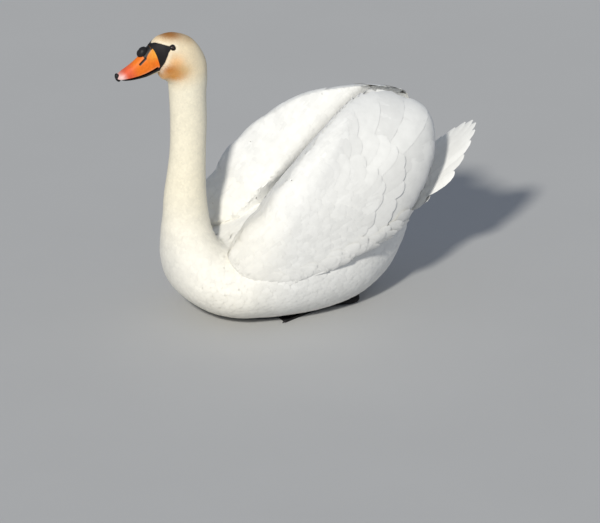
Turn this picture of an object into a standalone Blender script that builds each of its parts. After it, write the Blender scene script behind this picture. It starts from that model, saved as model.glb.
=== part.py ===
"""A mute swan afloat with its wings arched over its back, life size, as a still model that rests on its belly.

Metres, +Z up. The swan faces -Y and its left side is +X. The origin is on the floor, in the middle of the belly's flat.
Every flesh part is cut from one of three smooth forms: the body, from vent to brow, the wing and the tail.
"""

import math

import bmesh
import bpy
import numpy as np

# ---------------------------------------------------------------- driving dimensions
GAP = 0.0004  # clearance between neighbouring pieces
AROUND = 24  # points round a section of the body
STEPS = 2  # rings between two neighbouring stations

# Stations of the body from the vent to the brow. Each is a flat section square to the side view:
# back y, z; belly y, z; half width; squareness (2 is an ellipse); share of the height below the widest line.
BODY = (
    (0.215, 0.150, 0.211, 0.125, 0.012, 2.0, 0.50),  # vent
    (0.192, 0.178, 0.186, 0.083, 0.046, 2.1, 0.50),  # rump
    (0.146, 0.200, 0.146, 0.036, 0.085, 2.2, 0.52),  # hips
    (0.080, 0.210, 0.080, 0.004, 0.126, 2.3, 0.53),  # flanks
    (0.000, 0.208, 0.000, -0.007, 0.154, 2.4, 0.55),  # middle
    (-0.080, 0.196, -0.080, -0.007, 0.167, 2.4, 0.57),  # wing roots
    (-0.135, 0.172, -0.140, -0.003, 0.163, 2.4, 0.60),  # fore chest
    (-0.168, 0.152, -0.186, 0.004, 0.155, 2.4, 0.60),  # breast, low
    (-0.178, 0.149, -0.231, 0.020, 0.138, 2.3, 0.55),
    (-0.185, 0.153, -0.272, 0.056, 0.114, 2.2, 0.50),  # breast, at the waterline
    (-0.191, 0.159, -0.292, 0.110, 0.086, 2.1, 0.50),
    (-0.198, 0.176, -0.296, 0.170, 0.060, 2.0, 0.50),  # root of the neck
    (-0.204, 0.204, -0.294, 0.204, 0.046, 2.0, 0.50),
    (-0.209, 0.250, -0.291, 0.250, 0.041, 2.0, 0.50),
    (-0.210, 0.297, -0.284, 0.297, 0.037, 2.0, 0.50),
    (-0.209, 0.342, -0.279, 0.342, 0.035, 2.0, 0.50),  # middle of the neck
    (-0.207, 0.400, -0.278, 0.400, 0.035, 2.0, 0.50),
    (-0.208, 0.452, -0.280, 0.452, 0.036, 2.0, 0.50),  # top of the neck
    (-0.206, 0.490, -0.2825, 0.478, 0.037, 2.0, 0.50),  # nape
    (-0.2105, 0.528, -0.287, 0.485, 0.037, 2.0, 0.50),
    (-0.235, 0.5655, -0.2935, 0.4900, 0.036, 2.1, 0.48),  # crown and throat
    (-0.269, 0.581, -0.2985, 0.4925, 0.033, 2.2, 0.46),
    (-0.297, 0.580, -0.3015, 0.4975, 0.029, 2.2, 0.45),  # eyes
    (-0.3125, 0.573, -0.3030, 0.5018, 0.024, 2.2, 0.42),  # brow and chin
    (-0.3235, 0.564, -0.3062, 0.5065, 0.0185, 2.2, 0.38),  # root of the bill
)
NECK_ROOT = 11.55  # station numbers at which the body form is parted
NECK_LOW = 13.5
NECK_HIGH = 15.6
NECK_TOP = 17.0
FACE_BACK = 23.0
FACE_FRONT = 24.0

# Stations of the upper and the lower half of the bill, as in BODY.
UPPER_BILL = (
    (-0.3243, 0.5625, -0.3090, 0.5215, 0.0178, 2.3, 0.10),
    (-0.3390, 0.5480, -0.3265, 0.5130, 0.0165, 2.3, 0.12),
    (-0.3510, 0.5370, -0.3430, 0.5072, 0.0152, 2.3, 0.15),
    (-0.3655, 0.5262, -0.3610, 0.5040, 0.0146, 2.3, 0.20),
    (-0.3775, 0.5182, -0.3755, 0.5028, 0.0142, 2.3, 0.28),
    (-0.3860, 0.5120, -0.3855, 0.5025, 0.0112, 2.2, 0.38),
    (-0.3905, 0.5080, -0.3900, 0.5040, 0.0050, 2.0, 0.50),
)
LOWER_BILL = (
    (-0.3085, 0.5185, -0.3060, 0.5075, 0.0140, 2.2, 0.65),
    (-0.3265, 0.5112, -0.3265, 0.5030, 0.0135, 2.2, 0.65),
    (-0.3430, 0.5062, -0.3430, 0.5005, 0.0125, 2.2, 0.65),
    (-0.3600, 0.5032, -0.3600, 0.4990, 0.0112, 2.2, 0.65),
    (-0.3740, 0.5020, -0.3740, 0.4990, 0.0085, 2.2, 0.65),
    (-0.3810, 0.5018, -0.3810, 0.5002, 0.0035, 2.0, 0.65),
)
KNOB_CENTRE = (0.0, -0.3368, 0.5508)
KNOB_RADII = (0.0095, 0.0120, 0.0092)
KNOB_LEAN = math.radians(42)
NAIL_CENTRE = (0.0, -0.3878, 0.5060)
NAIL_RADII = (0.0064, 0.0050, 0.0092)
NAIL_LEAN = math.radians(22)
EYE_CENTRE = (0.0236, -0.2843, 0.5614)
EYE_RADIUS = 0.0062

# The arched wing is a dome over its edge. The edge's points, as y, z and distance from the middle of the swan:
WING_HUB = (-0.100, 0.190)  # y, z of the shoulder, from which the feathers fan out
WING_EDGE = (
    (0.158, 0.168, 0.112),  # rear corner, over the tail's root
    (0.182, 0.200, 0.106),
    (0.216, 0.254, 0.096),
    (0.240, 0.316, 0.075),
    (0.236, 0.372, 0.045),
    (0.196, 0.398, 0.021),
    (0.132, 0.415, 0.010),  # top, where the two wings all but meet
    (0.080, 0.408, 0.032),
    (0.030, 0.389, 0.068),
    (-0.028, 0.349, 0.100),
    (-0.085, 0.298, 0.121),
    (-0.135, 0.236, 0.122),  # front of the ridge
    (-0.185, 0.180, 0.110),
    (-0.206, 0.146, 0.100),
    (-0.180, 0.110, 0.138),
    (-0.115, 0.098, 0.161),
    (-0.040, 0.108, 0.160),  # lower edge, on the flank
    (0.040, 0.130, 0.150),
    (0.105, 0.148, 0.130),
)
WING_CROWN = 0.172  # distance of the dome's crown from the middle of the swan
WING_DEPTH = 0.120  # thickness at the hub of the hollow rear part of the wing
WING_HEART = 0.016  # distance of the full front part's inner side from the middle of the swan, at the hub
FULL_FROM, FULL_TO = math.radians(0), math.radians(62)  # angles over which the hollow part turns into the full one
WING_EDGE_THICKNESS = 0.0030
SCALLOP_FROM, SCALLOP_TO = math.radians(-8), math.radians(66)  # angles of the flight feathers' tips round the hub
SCALLOPS = 10
SCALLOP_DEPTH = 0.035
WING_ROUND = 52
WING_RINGS = (0.22, 0.44, 0.64, 0.80, 0.92, 1.0)

TAIL_ROOT = (0.158, 0.156)  # y, z
TAIL_TIP = (0.3560, 0.3160)
TAIL_HALF_WIDTHS = (0.040, 0.060, 0.073, 0.080, 0.081)
TAIL_ARCH = 0.013  # how far the tail's sides hang below its middle
TAIL_FEATHERS = 10
TAIL_ROOT_THICKNESS = 0.042  # with the coverts above and below the root
TAIL_TIP_THICKNESS = 0.0016

FOOT_HEEL = (0.066, 0.014)  # x, y of the joint where the toes meet
TOE_LENGTH = 0.126
TOE_SPREAD = math.radians(24)
FOOT_TURN = math.radians(2)  # how far the feet point outwards
WEB_THICKNESS = 0.0032
TOE_HEIGHT = 0.0058
SHANK_RADIUS = 0.0075
ANKLE = (0.070, 0.074, 0.0085)
KNEE = (0.062, 0.060, 0.045)

WHITE = (0.93, 0.92, 0.89, 1)
CREAM = (0.90, 0.85, 0.72, 1)
RUST = (0.82, 0.62, 0.38, 1)
BLACK = (0.015, 0.015, 0.018, 1)
ORANGE = (0.86, 0.24, 0.05, 1)


# ---------------------------------------------------------------- scene and finish
def clear_scene():
    for obj in list(bpy.data.objects):
        bpy.data.objects.remove(obj)


def collection(name):
    made = bpy.data.collections.new(name)
    bpy.context.scene.collection.children.link(made)
    return made


def finish(name, colour, roughness):
    """A plain Principled material."""
    material = bpy.data.materials.new(name)
    material.use_nodes = True
    shader = material.node_tree.nodes["Principled BSDF"]
    shader.inputs["Base Color"].default_value = colour
    shader.inputs["Roughness"].default_value = roughness
    shader.inputs["Metallic"].default_value = 0.0
    return material


def add_object(name, mesh, group, material=None):
    obj = bpy.data.objects.new(name, mesh)
    group.objects.link(obj)
    if material:
        mesh.materials.clear()
        mesh.materials.append(material)
    mesh.shade_smooth()
    mesh.set_sharp_from_angle(angle=math.radians(50))
    return obj


# ---------------------------------------------------------------- lofted forms
def spline(rows, places):
    """Rows of numbers at station numbers 0, 1, 2..., read at any places between them along a smooth cubic."""
    rows = np.asarray(rows, float)
    slopes = np.gradient(rows, axis=0)
    places = np.clip(np.asarray(places, float), 0, len(rows) - 1)
    low = np.minimum(places.astype(int), len(rows) - 2)
    t = (places - low)[:, None]
    a, b = rows[low], rows[low + 1]
    da, db = slopes[low], slopes[low + 1]
    return (
        a * (2 * t**3 - 3 * t**2 + 1)
        + b * (3 * t**2 - 2 * t**3)
        + da * (t**3 - 2 * t**2 + t)
        + db * (t**3 - t**2)
    )


def section(station, around, grow=0.0):
    """The closed outline of one station: a squared oval whose widest line may lie off its middle."""
    back_y, back_z, belly_y, belly_z, half_width, squareness, low = station
    reach = grow / math.hypot(back_y - belly_y, back_z - belly_z)
    back_y, belly_y = back_y + (back_y - belly_y) * reach, belly_y - (back_y - belly_y) * reach
    back_z, belly_z = back_z + (back_z - belly_z) * reach, belly_z - (back_z - belly_z) * reach
    half_width += grow
    angle = 2 * math.pi * np.arange(around) / around
    side = np.sign(np.cos(angle)) * np.abs(np.cos(angle)) ** (2 / squareness)
    rise = np.sign(np.sin(angle)) * np.abs(np.sin(angle)) ** (2 / squareness)
    height = np.where(rise > 0, low + rise * (1 - low), low + rise * low)
    x = half_width * side
    y = belly_y + (back_y - belly_y) * height
    z = belly_z + (back_z - belly_z) * height
    return np.stack([x, y, np.maximum(z, -grow)], axis=1)


def loft(stations, places, around=AROUND, grow=0.0):
    """A closed mesh through the sections at these places, capped at both ends."""
    mesh = bpy.data.meshes.new("loft")
    body = bmesh.new()
    rings = []
    for row in spline(stations, places):
        rings.append([body.verts.new(point) for point in section(row, around, grow)])
    for near, far in zip(rings, rings[1:]):
        for i in range(around):
            j = (i + 1) % around
            body.faces.new((near[i], near[j], far[j], far[i]))
    body.faces.new(rings[0])
    body.faces.new(rings[-1])
    bmesh.ops.recalc_face_normals(body, faces=body.faces)
    body.to_mesh(mesh)
    body.free()
    return mesh


def places_between(first, last, steps=STEPS):
    """Station numbers from first to last, with every whole station among them."""
    count = max(2, round((last - first) * steps) + 1)
    return np.linspace(first, last, count)


def body_length(first, last):
    """The part of the body form from one station number to another, less half a gap at each parted end."""
    ends = spline(BODY, [first, last])
    inner = spline(BODY, [first + 0.1, last - 0.1])
    spans = [np.linalg.norm(centre(a) - centre(b)) for a, b in zip(ends, inner)]
    trim = [0.1 * GAP * 0.5 / span for span in spans]
    start = first + trim[0] if first > 0 else first
    return loft(BODY, places_between(start, last - trim[1]))


def centre(station):
    return np.array([station[0] + station[2], station[1] + station[3]]) / 2


# ---------------------------------------------------------------- cuts between neighbours
def grown_copy(obj, amount, cutters):
    """A hidden copy of a solid, grown by this much along its normals."""
    graph = bpy.context.evaluated_depsgraph_get()
    mesh = bpy.data.meshes.new_from_object(obj.evaluated_get(graph))
    shape = bmesh.new()
    shape.from_mesh(mesh)
    bmesh.ops.remove_doubles(shape, verts=shape.verts, dist=1e-6)
    shape.normal_update()
    moves = [vert.co + vert.normal * amount for vert in shape.verts]
    for vert, place in zip(shape.verts, moves):
        vert.co = place
    shape.to_mesh(mesh)
    shape.free()
    copy = bpy.data.objects.new(obj.name + "_clearance", mesh)
    copy.matrix_world = obj.matrix_world
    cutters.objects.link(copy)
    copy.hide_render = True
    copy.display_type = "WIRE"
    return copy


def cut_away(obj, cutter):
    """Takes the cutter's shape out of a solid."""
    cut = obj.modifiers.new("room_for_" + cutter.name, "BOOLEAN")
    cut.operation = "DIFFERENCE"
    cut.object = cutter


def make_room(obj, neighbour, cutters, amount=GAP):
    """Cuts a solid back from its neighbour, so that they meet with a thin gap."""
    cut_away(obj, grown_copy(neighbour, amount, cutters))


def apply_modifiers(obj):
    graph = bpy.context.evaluated_depsgraph_get()
    mesh = bpy.data.meshes.new_from_object(obj.evaluated_get(graph))
    obj.modifiers.clear()
    obj.data = mesh


def keep_largest(obj):
    """Drops the slivers that a cut leaves beside the main body of a solid."""
    apply_modifiers(obj)
    shape = bmesh.new()
    shape.from_mesh(obj.data)
    unseen = set(shape.verts)
    islands = []
    while unseen:
        island = set()
        edge_of_search = [unseen.pop()]
        while edge_of_search:
            vert = edge_of_search.pop()
            island.add(vert)
            linked = {edge.other_vert(vert) for edge in vert.link_edges} & unseen
            unseen -= linked
            edge_of_search.extend(linked)
        islands.append(island)
    largest = max(islands, key=len)
    loose = [vert for island in islands if island is not largest for vert in island]
    bmesh.ops.delete(shape, geom=loose, context="VERTS")
    shape.to_mesh(obj.data)
    shape.free()


# ---------------------------------------------------------------- wing
def wing_edge(angles):
    """Radius from the hub and distance from the swan's middle, along the wing's edge, at angles round the hub."""
    rows = np.asarray(WING_EDGE)
    across, up = rows[:, 0] - WING_HUB[0], rows[:, 1] - WING_HUB[1]
    turn = np.unwrap(np.arctan2(up, across))
    radius = np.hypot(across, up)
    wrapped = np.concatenate([turn - 2 * math.pi, turn, turn + 2 * math.pi])
    place = np.interp(angles, wrapped, np.arange(len(wrapped)))
    values = spline(np.tile(np.stack([radius, rows[:, 2]], axis=1), (3, 1)), place)
    return values[:, 0], values[:, 1]


def scallop(angles):
    """How far the edge is drawn in between the rounded tips of the flight feathers, from 0 at a tip to 1 at a notch."""
    share = (angles - SCALLOP_FROM) / (SCALLOP_TO - SCALLOP_FROM)
    inside = (share > 0) & (share < 1)
    wave = 1 - np.abs(np.sin(math.pi * SCALLOPS * share)) ** 0.6
    return np.where(inside, wave, 0.0)


def wing_mesh(side):
    """The wing as a lens: an outer dome over its edge, and an inner one that comes close to it towards the tips."""
    angles = np.linspace(math.radians(-25), math.radians(335), WING_ROUND, endpoint=False)
    fine = np.linspace(SCALLOP_FROM, SCALLOP_TO, 4 * SCALLOPS + 1)
    coarse = angles[(angles < SCALLOP_FROM - 0.03) | (angles > SCALLOP_TO + 0.03)]
    angles = np.sort(np.concatenate([fine, coarse[::2]]))
    radius, edge_x = wing_edge(angles)
    notch = SCALLOP_DEPTH * scallop(angles)
    fullness = 0.5 - 0.5 * np.cos(np.pi * np.clip((angles - FULL_FROM) / (FULL_TO - FULL_FROM), 0, 1))
    shape = bmesh.new()
    outer, inner = [], []
    for share in WING_RINGS:
        reach = share * radius * (1 - notch * share**4)
        y = WING_HUB[0] + reach * np.cos(angles)
        z = WING_HUB[1] + reach * np.sin(angles)
        x = edge_x + (WING_CROWN - edge_x) * math.sqrt(1 - share**2)
        hollow = x - WING_DEPTH * (1 - share)
        full = WING_HEART + (edge_x - WING_HEART) * share**1.8
        inside = hollow + (full - hollow) * fullness - WING_EDGE_THICKNESS
        outer.append([shape.verts.new((side * a, b, c)) for a, b, c in zip(x, y, z)])
        inner.append([shape.verts.new((side * a, b, c)) for a, b, c in zip(inside, y, z)])
    count = len(angles)
    for face in (outer, inner):
        for near, far in zip(face, face[1:]):
            for i in range(count):
                j = (i + 1) % count
                shape.faces.new((near[i], near[j], far[j], far[i]))
        shape.faces.new(face[0])
    for i in range(count):
        j = (i + 1) % count
        shape.faces.new((outer[-1][i], outer[-1][j], inner[-1][j], inner[-1][i]))
    bmesh.ops.recalc_face_normals(shape, faces=shape.faces)
    mesh = bpy.data.meshes.new("wing")
    shape.to_mesh(mesh)
    shape.free()
    return mesh


# ---------------------------------------------------------------- tail
def tail_mesh():
    """A raised fan of feathers: an arched sheet, thick at its root, with a rounded tip for each feather."""
    root, tip = np.array(TAIL_ROOT), np.array(TAIL_TIP)
    along = tip - root
    normal = np.array([-along[1], along[0]]) / np.linalg.norm(along)
    across = np.linspace(-1, 1, 3 * TAIL_FEATHERS + 1)
    notch = 1 - np.abs(np.sin(math.pi * TAIL_FEATHERS * (across + 1) / 2)) ** 0.6
    wedge = 1 - 0.50 * np.abs(across) ** 1.8 - 0.030 * notch * (np.abs(across) < 0.99)
    shape = bmesh.new()
    top, under = [], []
    for step in range(len(TAIL_HALF_WIDTHS)):
        share = step / (len(TAIL_HALF_WIDTHS) - 1)
        half_width = TAIL_HALF_WIDTHS[step]
        x = half_width * across
        reach = share * wedge
        lift = -TAIL_ARCH * across**2 * (0.4 + 0.6 * share)
        thickness = TAIL_TIP_THICKNESS + TAIL_ROOT_THICKNESS * (1 - share) ** 1.8 * (1 - 0.8 * across**2)
        y = root[0] + along[0] * reach + normal[0] * lift
        z = root[1] + along[1] * reach + normal[1] * lift
        top.append([shape.verts.new(point) for point in zip(x, y, z)])
        low_y, low_z = y - normal[0] * thickness, z - normal[1] * thickness
        under.append([shape.verts.new(point) for point in zip(x, low_y, low_z)])
    count = len(across)
    for face in (top, under):
        for near, far in zip(face, face[1:]):
            for i in range(count - 1):
                shape.faces.new((near[i], near[i + 1], far[i + 1], far[i]))
    for end in (0, -1):
        for i in range(count - 1):
            shape.faces.new((top[end][i], top[end][i + 1], under[end][i + 1], under[end][i]))
        for near in range(len(top) - 1):
            far = near + 1
            shape.faces.new((top[near][end], top[far][end], under[far][end], under[near][end]))
    bmesh.ops.recalc_face_normals(shape, faces=shape.faces)
    mesh = bpy.data.meshes.new("tail")
    shape.to_mesh(mesh)
    shape.free()
    return mesh


# ---------------------------------------------------------------- round pieces
def ellipsoid(name, centre_point, radii, lean, group, material):
    """A ball with three radii, leaning about the X axis."""
    mesh = bpy.data.meshes.new(name)
    shape = bmesh.new()
    bmesh.ops.create_uvsphere(shape, u_segments=14, v_segments=8, radius=1.0)
    bmesh.ops.scale(shape, vec=radii, verts=shape.verts)
    shape.to_mesh(mesh)
    shape.free()
    obj = add_object(name, mesh, group, material)
    obj.rotation_euler = (lean, 0, 0)
    obj.location = centre_point
    bpy.context.view_layer.update()
    return obj


# ---------------------------------------------------------------- feet
def web_mesh(side):
    """One webbed foot, flat on the floor: three toes in low relief with the web hollowed between their tips."""
    angles = np.linspace(-TOE_SPREAD, TOE_SPREAD, 17)
    toe = np.cos(math.pi * angles / TOE_SPREAD) ** 2  # 1 on the three toes, 0 halfway between them
    reach = TOE_LENGTH * (0.86 + 0.14 * toe**2) * (1 - 0.10 * np.abs(angles / TOE_SPREAD))
    heading = angles + side * FOOT_TURN
    shape = bmesh.new()
    top, sole = [], []
    for share in (0.10, 0.30, 0.50, 0.70, 0.86, 1.0):
        x = side * FOOT_HEEL[0] + reach * share * np.sin(heading)
        y = FOOT_HEEL[1] - reach * share * np.cos(heading)
        relief = WEB_THICKNESS + (TOE_HEIGHT - WEB_THICKNESS) * toe**2 * (1.1 - share * 0.6)
        top.append([shape.verts.new((a, b, c)) for a, b, c in zip(x, y, relief)])
        sole.append([shape.verts.new((a, b, 0.0)) for a, b in zip(x, y)])
    count = len(angles)
    for face in (top, sole):
        for near, far in zip(face, face[1:]):
            for i in range(count - 1):
                shape.faces.new((near[i], near[i + 1], far[i + 1], far[i]))
    for end in (0, -1):
        for i in range(count - 1):
            shape.faces.new((top[end][i], top[end][i + 1], sole[end][i + 1], sole[end][i]))
        for near in range(len(top) - 1):
            far = near + 1
            shape.faces.new((top[near][end], top[far][end], sole[far][end], sole[near][end]))
    bmesh.ops.recalc_face_normals(shape, faces=shape.faces)
    mesh = bpy.data.meshes.new("web")
    shape.to_mesh(mesh)
    shape.free()
    return mesh


def shank(name, side, group):
    """The shank from the toes back to the ankle, and on up into the belly's feathers."""
    line = bpy.data.curves.new(name, "CURVE")
    line.dimensions = "3D"
    line.bevel_depth = SHANK_RADIUS
    line.bevel_resolution = 2
    line.use_fill_caps = True
    path = line.splines.new("POLY")
    toes = (FOOT_HEEL[0], FOOT_HEEL[1] - 0.012, SHANK_RADIUS + 0.0003)
    points = (toes, (ANKLE[0], ANKLE[1], SHANK_RADIUS + 0.0010), (ANKLE[0] - 0.004, ANKLE[1] + 0.004, 0.016), KNEE)
    path.points.add(len(points) - 1)
    for point, (x, y, z) in zip(path.points, points):
        point.co = (side * x, y, z, 1)
    curve = bpy.data.objects.new(name, line)
    group.objects.link(curve)
    graph = bpy.context.evaluated_depsgraph_get()
    mesh = bpy.data.meshes.new_from_object(curve.evaluated_get(graph))
    welded = bmesh.new()
    welded.from_mesh(mesh)
    bmesh.ops.remove_doubles(welded, verts=welded.verts, dist=1e-6)
    bmesh.ops.recalc_face_normals(welded, faces=welded.faces)
    welded.to_mesh(mesh)
    welded.free()
    bpy.data.objects.remove(curve)
    return mesh


def leg(name, side, group, cutters, material):
    """A leg folded under the swan: web and shank joined into one solid."""
    foot = add_object(name, web_mesh(side), group, material)
    upper = add_object(name + "_shank", shank(name + "_shank", side, group), cutters)
    upper.hide_render = True
    upper.display_type = "WIRE"
    join = foot.modifiers.new("shank", "BOOLEAN")
    join.operation = "UNION"
    join.object = upper
    return foot


# ---------------------------------------------------------------- the swan
def build():
    clear_scene()
    swan = collection("mute_swan")
    cutters = collection("cutters")
    white = finish("white_plumage", WHITE, 0.75)
    cream = finish("cream_plumage", CREAM, 0.78)
    rust = finish("rust_plumage", RUST, 0.78)
    black = finish("black_skin", BLACK, 0.45)
    orange = finish("orange_bill", ORANGE, 0.40)
    gloss = finish("eye", BLACK, 0.08)

    add_object("trunk", body_length(0, NECK_ROOT), swan, white)
    add_object("neck_lower", body_length(NECK_ROOT, NECK_LOW), swan, cream)
    add_object("neck_middle", body_length(NECK_LOW, NECK_HIGH), swan, cream)
    add_object("neck_upper", body_length(NECK_HIGH, NECK_TOP), swan, cream)
    head = add_object("head", body_length(NECK_TOP, FACE_BACK), swan, rust)
    face = add_object("face_mask", body_length(FACE_BACK, FACE_FRONT), swan, black)

    upper = add_object("bill_upper", loft(UPPER_BILL, places_between(0, 6, 2), 20), swan, orange)
    lower = add_object("bill_lower", loft(LOWER_BILL, places_between(0, 5, 2), 16), swan, black)
    nail = ellipsoid("bill_nail", NAIL_CENTRE, NAIL_RADII, NAIL_LEAN, swan, black)
    knob = ellipsoid("bill_knob", KNOB_CENTRE, KNOB_RADII, KNOB_LEAN, swan, black)
    make_room(upper, face, cutters)
    make_room(upper, nail, cutters)
    make_room(upper, knob, cutters)
    make_room(lower, upper, cutters)
    make_room(lower, nail, cutters)
    make_room(lower, face, cutters)
    make_room(face, knob, cutters)

    for name, side in (("eye_left", 1), ("eye_right", -1)):
        place = (side * EYE_CENTRE[0], EYE_CENTRE[1], EYE_CENTRE[2])
        eye = ellipsoid(name, place, (EYE_RADIUS,) * 3, 0.0, swan, gloss)
        make_room(head, eye, cutters)
        make_room(face, eye, cutters)

    room = add_object("trunk_clearance", loft(BODY, places_between(0, NECK_ROOT), grow=2 * GAP), cutters)
    room.hide_render = True
    room.display_type = "WIRE"
    tail = add_object("tail", tail_mesh(), swan, white)
    cut_away(tail, room)
    keep_largest(tail)

    for name, side in (("wing_left", 1), ("wing_right", -1)):
        wing = add_object(name, wing_mesh(side), swan, white)
        cut_away(wing, room)
        make_room(wing, tail, cutters)
        keep_largest(wing)

    under = add_object("leg_clearance", loft(BODY, places_between(0, NECK_ROOT), grow=4 * GAP), cutters)
    under.hide_render = True
    under.display_type = "WIRE"
    for name, side in (("leg_left", 1), ("leg_right", -1)):
        foot = leg(name, side, swan, cutters, black)
        cut_away(foot, under)
        keep_largest(foot)


build()
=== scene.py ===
# %% [markdown]
# # A mute swan, its wings arched over its back
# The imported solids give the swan's true outline. This lesson dresses them: one seamless skin stands for
# every solid of flesh, thousands of thin feather vanes lie over it, and the bill, eyes and claws stay pieces
# of their own. Nothing moves, so every piece rides on the one body, called root.

# %% Load the frame
import math

import bpy
import numpy as np
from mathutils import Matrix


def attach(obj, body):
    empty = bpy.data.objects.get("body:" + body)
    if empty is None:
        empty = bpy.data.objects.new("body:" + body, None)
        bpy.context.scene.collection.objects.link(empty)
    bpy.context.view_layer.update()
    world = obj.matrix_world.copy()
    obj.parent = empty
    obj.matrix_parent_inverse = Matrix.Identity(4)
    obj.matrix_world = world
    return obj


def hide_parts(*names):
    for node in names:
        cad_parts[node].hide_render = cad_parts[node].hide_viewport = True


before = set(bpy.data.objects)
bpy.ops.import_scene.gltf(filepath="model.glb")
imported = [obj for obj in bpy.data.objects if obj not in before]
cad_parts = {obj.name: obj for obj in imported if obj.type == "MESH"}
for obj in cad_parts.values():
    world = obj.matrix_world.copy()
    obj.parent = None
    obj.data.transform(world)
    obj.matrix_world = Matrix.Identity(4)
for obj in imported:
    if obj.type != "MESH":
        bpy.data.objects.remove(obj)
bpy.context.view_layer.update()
random = np.random.default_rng(12)
print("solids:", ", ".join(sorted(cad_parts)))

# %% Small tools for arrays
TURN = 2 * math.pi


def grid(u, v):
    """Two parameters over a grid: the first changes from row to row, the second along each row."""
    return np.meshgrid(u, v, indexing="ij")


def around(count):
    """Angles spread evenly round a full turn."""
    return np.linspace(0, TURN, count, endpoint=False)


def ray(angle):
    """Cosine and sine of an angle, side by side."""
    return np.stack([np.cos(angle), np.sin(angle)], axis=-1)


def smooth(low, high, value):
    """0 at low, 1 at high, and a cosine-like ease between them; low may be the greater one."""
    t = np.clip((value - low) / (high - low), 0, 1)
    return t * t * (3 - 2 * t)


def bell(value, width):
    """A soft hump: 1 where the value is 0, and falling away on both sides over about the width."""
    return np.exp(-((value / width) ** 2))


def spline(rows, places):
    """Rows of numbers at stations 0, 1, 2..., read between them along a smooth cubic (Hermite) curve."""
    rows = np.asarray(rows, float)
    slopes = np.gradient(rows, axis=0)
    places = np.clip(np.asarray(places, float), 0, len(rows) - 1)
    low = np.minimum(places.astype(int), len(rows) - 2)
    t = (places - low)[..., None]
    a, b, da, db = rows[low], rows[low + 1], slopes[low], slopes[low + 1]
    return (
        a * (2 * t**3 - 3 * t**2 + 1)
        + b * (3 * t**2 - 2 * t**3)
        + da * (t**3 - 2 * t**2 + t)
        + db * (t**3 - t**2)
    )


# %% [markdown]
# ## The forms under the feathers
# A bird's body is a bent tube whose sections change slowly from vent to brow, so it could be sculpted, or
# lofted. A loft is chosen, because the solids are lofts too: the same stations, read along the same smooth
# cubic, give a surface that fits them exactly and that every later piece can ask for a point or a slope.

# %% Stations of the body
# back y, z; belly y, z; half width; squareness (2 is an ellipse); share of the height below the widest line
BODY = (
    (0.215, 0.150, 0.211, 0.125, 0.012, 2.0, 0.50),  # vent
    (0.192, 0.178, 0.186, 0.083, 0.046, 2.1, 0.50),  # rump
    (0.146, 0.200, 0.146, 0.036, 0.085, 2.2, 0.52),  # hips
    (0.080, 0.210, 0.080, 0.004, 0.126, 2.3, 0.53),  # flanks
    (0.000, 0.208, 0.000, -0.007, 0.154, 2.4, 0.55),  # middle
    (-0.080, 0.196, -0.080, -0.007, 0.167, 2.4, 0.57),  # wing roots
    (-0.135, 0.172, -0.140, -0.003, 0.163, 2.4, 0.60),  # fore chest
    (-0.168, 0.152, -0.186, 0.004, 0.155, 2.4, 0.60),  # breast, low
    (-0.178, 0.149, -0.231, 0.020, 0.138, 2.3, 0.55),
    (-0.185, 0.153, -0.272, 0.056, 0.114, 2.2, 0.50),  # breast, where a floating swan meets the water
    (-0.191, 0.159, -0.292, 0.110, 0.086, 2.1, 0.50),
    (-0.198, 0.176, -0.296, 0.170, 0.060, 2.0, 0.50),  # root of the neck
    (-0.204, 0.204, -0.294, 0.204, 0.046, 2.0, 0.50),
    (-0.209, 0.250, -0.291, 0.250, 0.041, 2.0, 0.50),
    (-0.210, 0.297, -0.284, 0.297, 0.037, 2.0, 0.50),
    (-0.209, 0.342, -0.279, 0.342, 0.035, 2.0, 0.50),  # middle of the neck
    (-0.207, 0.400, -0.278, 0.400, 0.035, 2.0, 0.50),
    (-0.208, 0.452, -0.280, 0.452, 0.036, 2.0, 0.50),  # top of the neck
    (-0.206, 0.490, -0.2825, 0.478, 0.037, 2.0, 0.50),  # nape
    (-0.2105, 0.528, -0.287, 0.485, 0.037, 2.0, 0.50),
    (-0.235, 0.5655, -0.2935, 0.4900, 0.036, 2.1, 0.48),  # crown and throat
    (-0.269, 0.581, -0.2985, 0.4925, 0.033, 2.2, 0.46),
    (-0.297, 0.580, -0.3015, 0.4975, 0.029, 2.2, 0.45),  # eyes
    (-0.3125, 0.573, -0.3030, 0.5018, 0.024, 2.2, 0.42),  # brow and chin
    (-0.3235, 0.564, -0.3062, 0.5065, 0.0185, 2.2, 0.38),  # root of the bill
)
BREAST, NECK_ROOT, NECK_MIDDLE, NAPE, BROW = 8.5, 11.5, 14.5, 18.0, 24.0
VENT_ROUND = 0.4  # stations over which the body's end is rounded


def oval(stations, place, turn):
    """A point on a loft: each station is a squared oval, side = |cos|^(2/squareness) and
    rise = |sin|^(2/squareness), stretched between its belly and back points."""
    rows = np.moveaxis(spline(stations, place), -1, 0)
    back_y, back_z, belly_y, belly_z, half_width, squareness, low = rows
    cosine, sine = np.cos(turn), np.sin(turn)
    side = np.sign(cosine) * np.abs(cosine) ** (2 / squareness)
    rise = np.sign(sine) * np.abs(sine) ** (2 / squareness)
    height = np.where(rise > 0, low + rise * (1 - low), low + rise * low)
    y = belly_y + (back_y - belly_y) * height
    z = belly_z + (back_z - belly_z) * height
    return np.stack([half_width * side, y, z], axis=-1)


def body_point(place, turn):
    """The body's surface: rounded at the vent, and flat where the belly rests on the floor."""
    points = oval(BODY, place, turn)
    middle = (oval(BODY, place, turn * 0) + oval(BODY, place, turn * 0 + math.pi)) / 2
    wide = np.sqrt(1 - (1 - np.clip(place / VENT_ROUND, 0, 1)) ** 2)
    points = middle + (points - middle) * wide[..., None]
    points[..., 2] = np.maximum(points[..., 2], 0.0)
    return points


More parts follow.
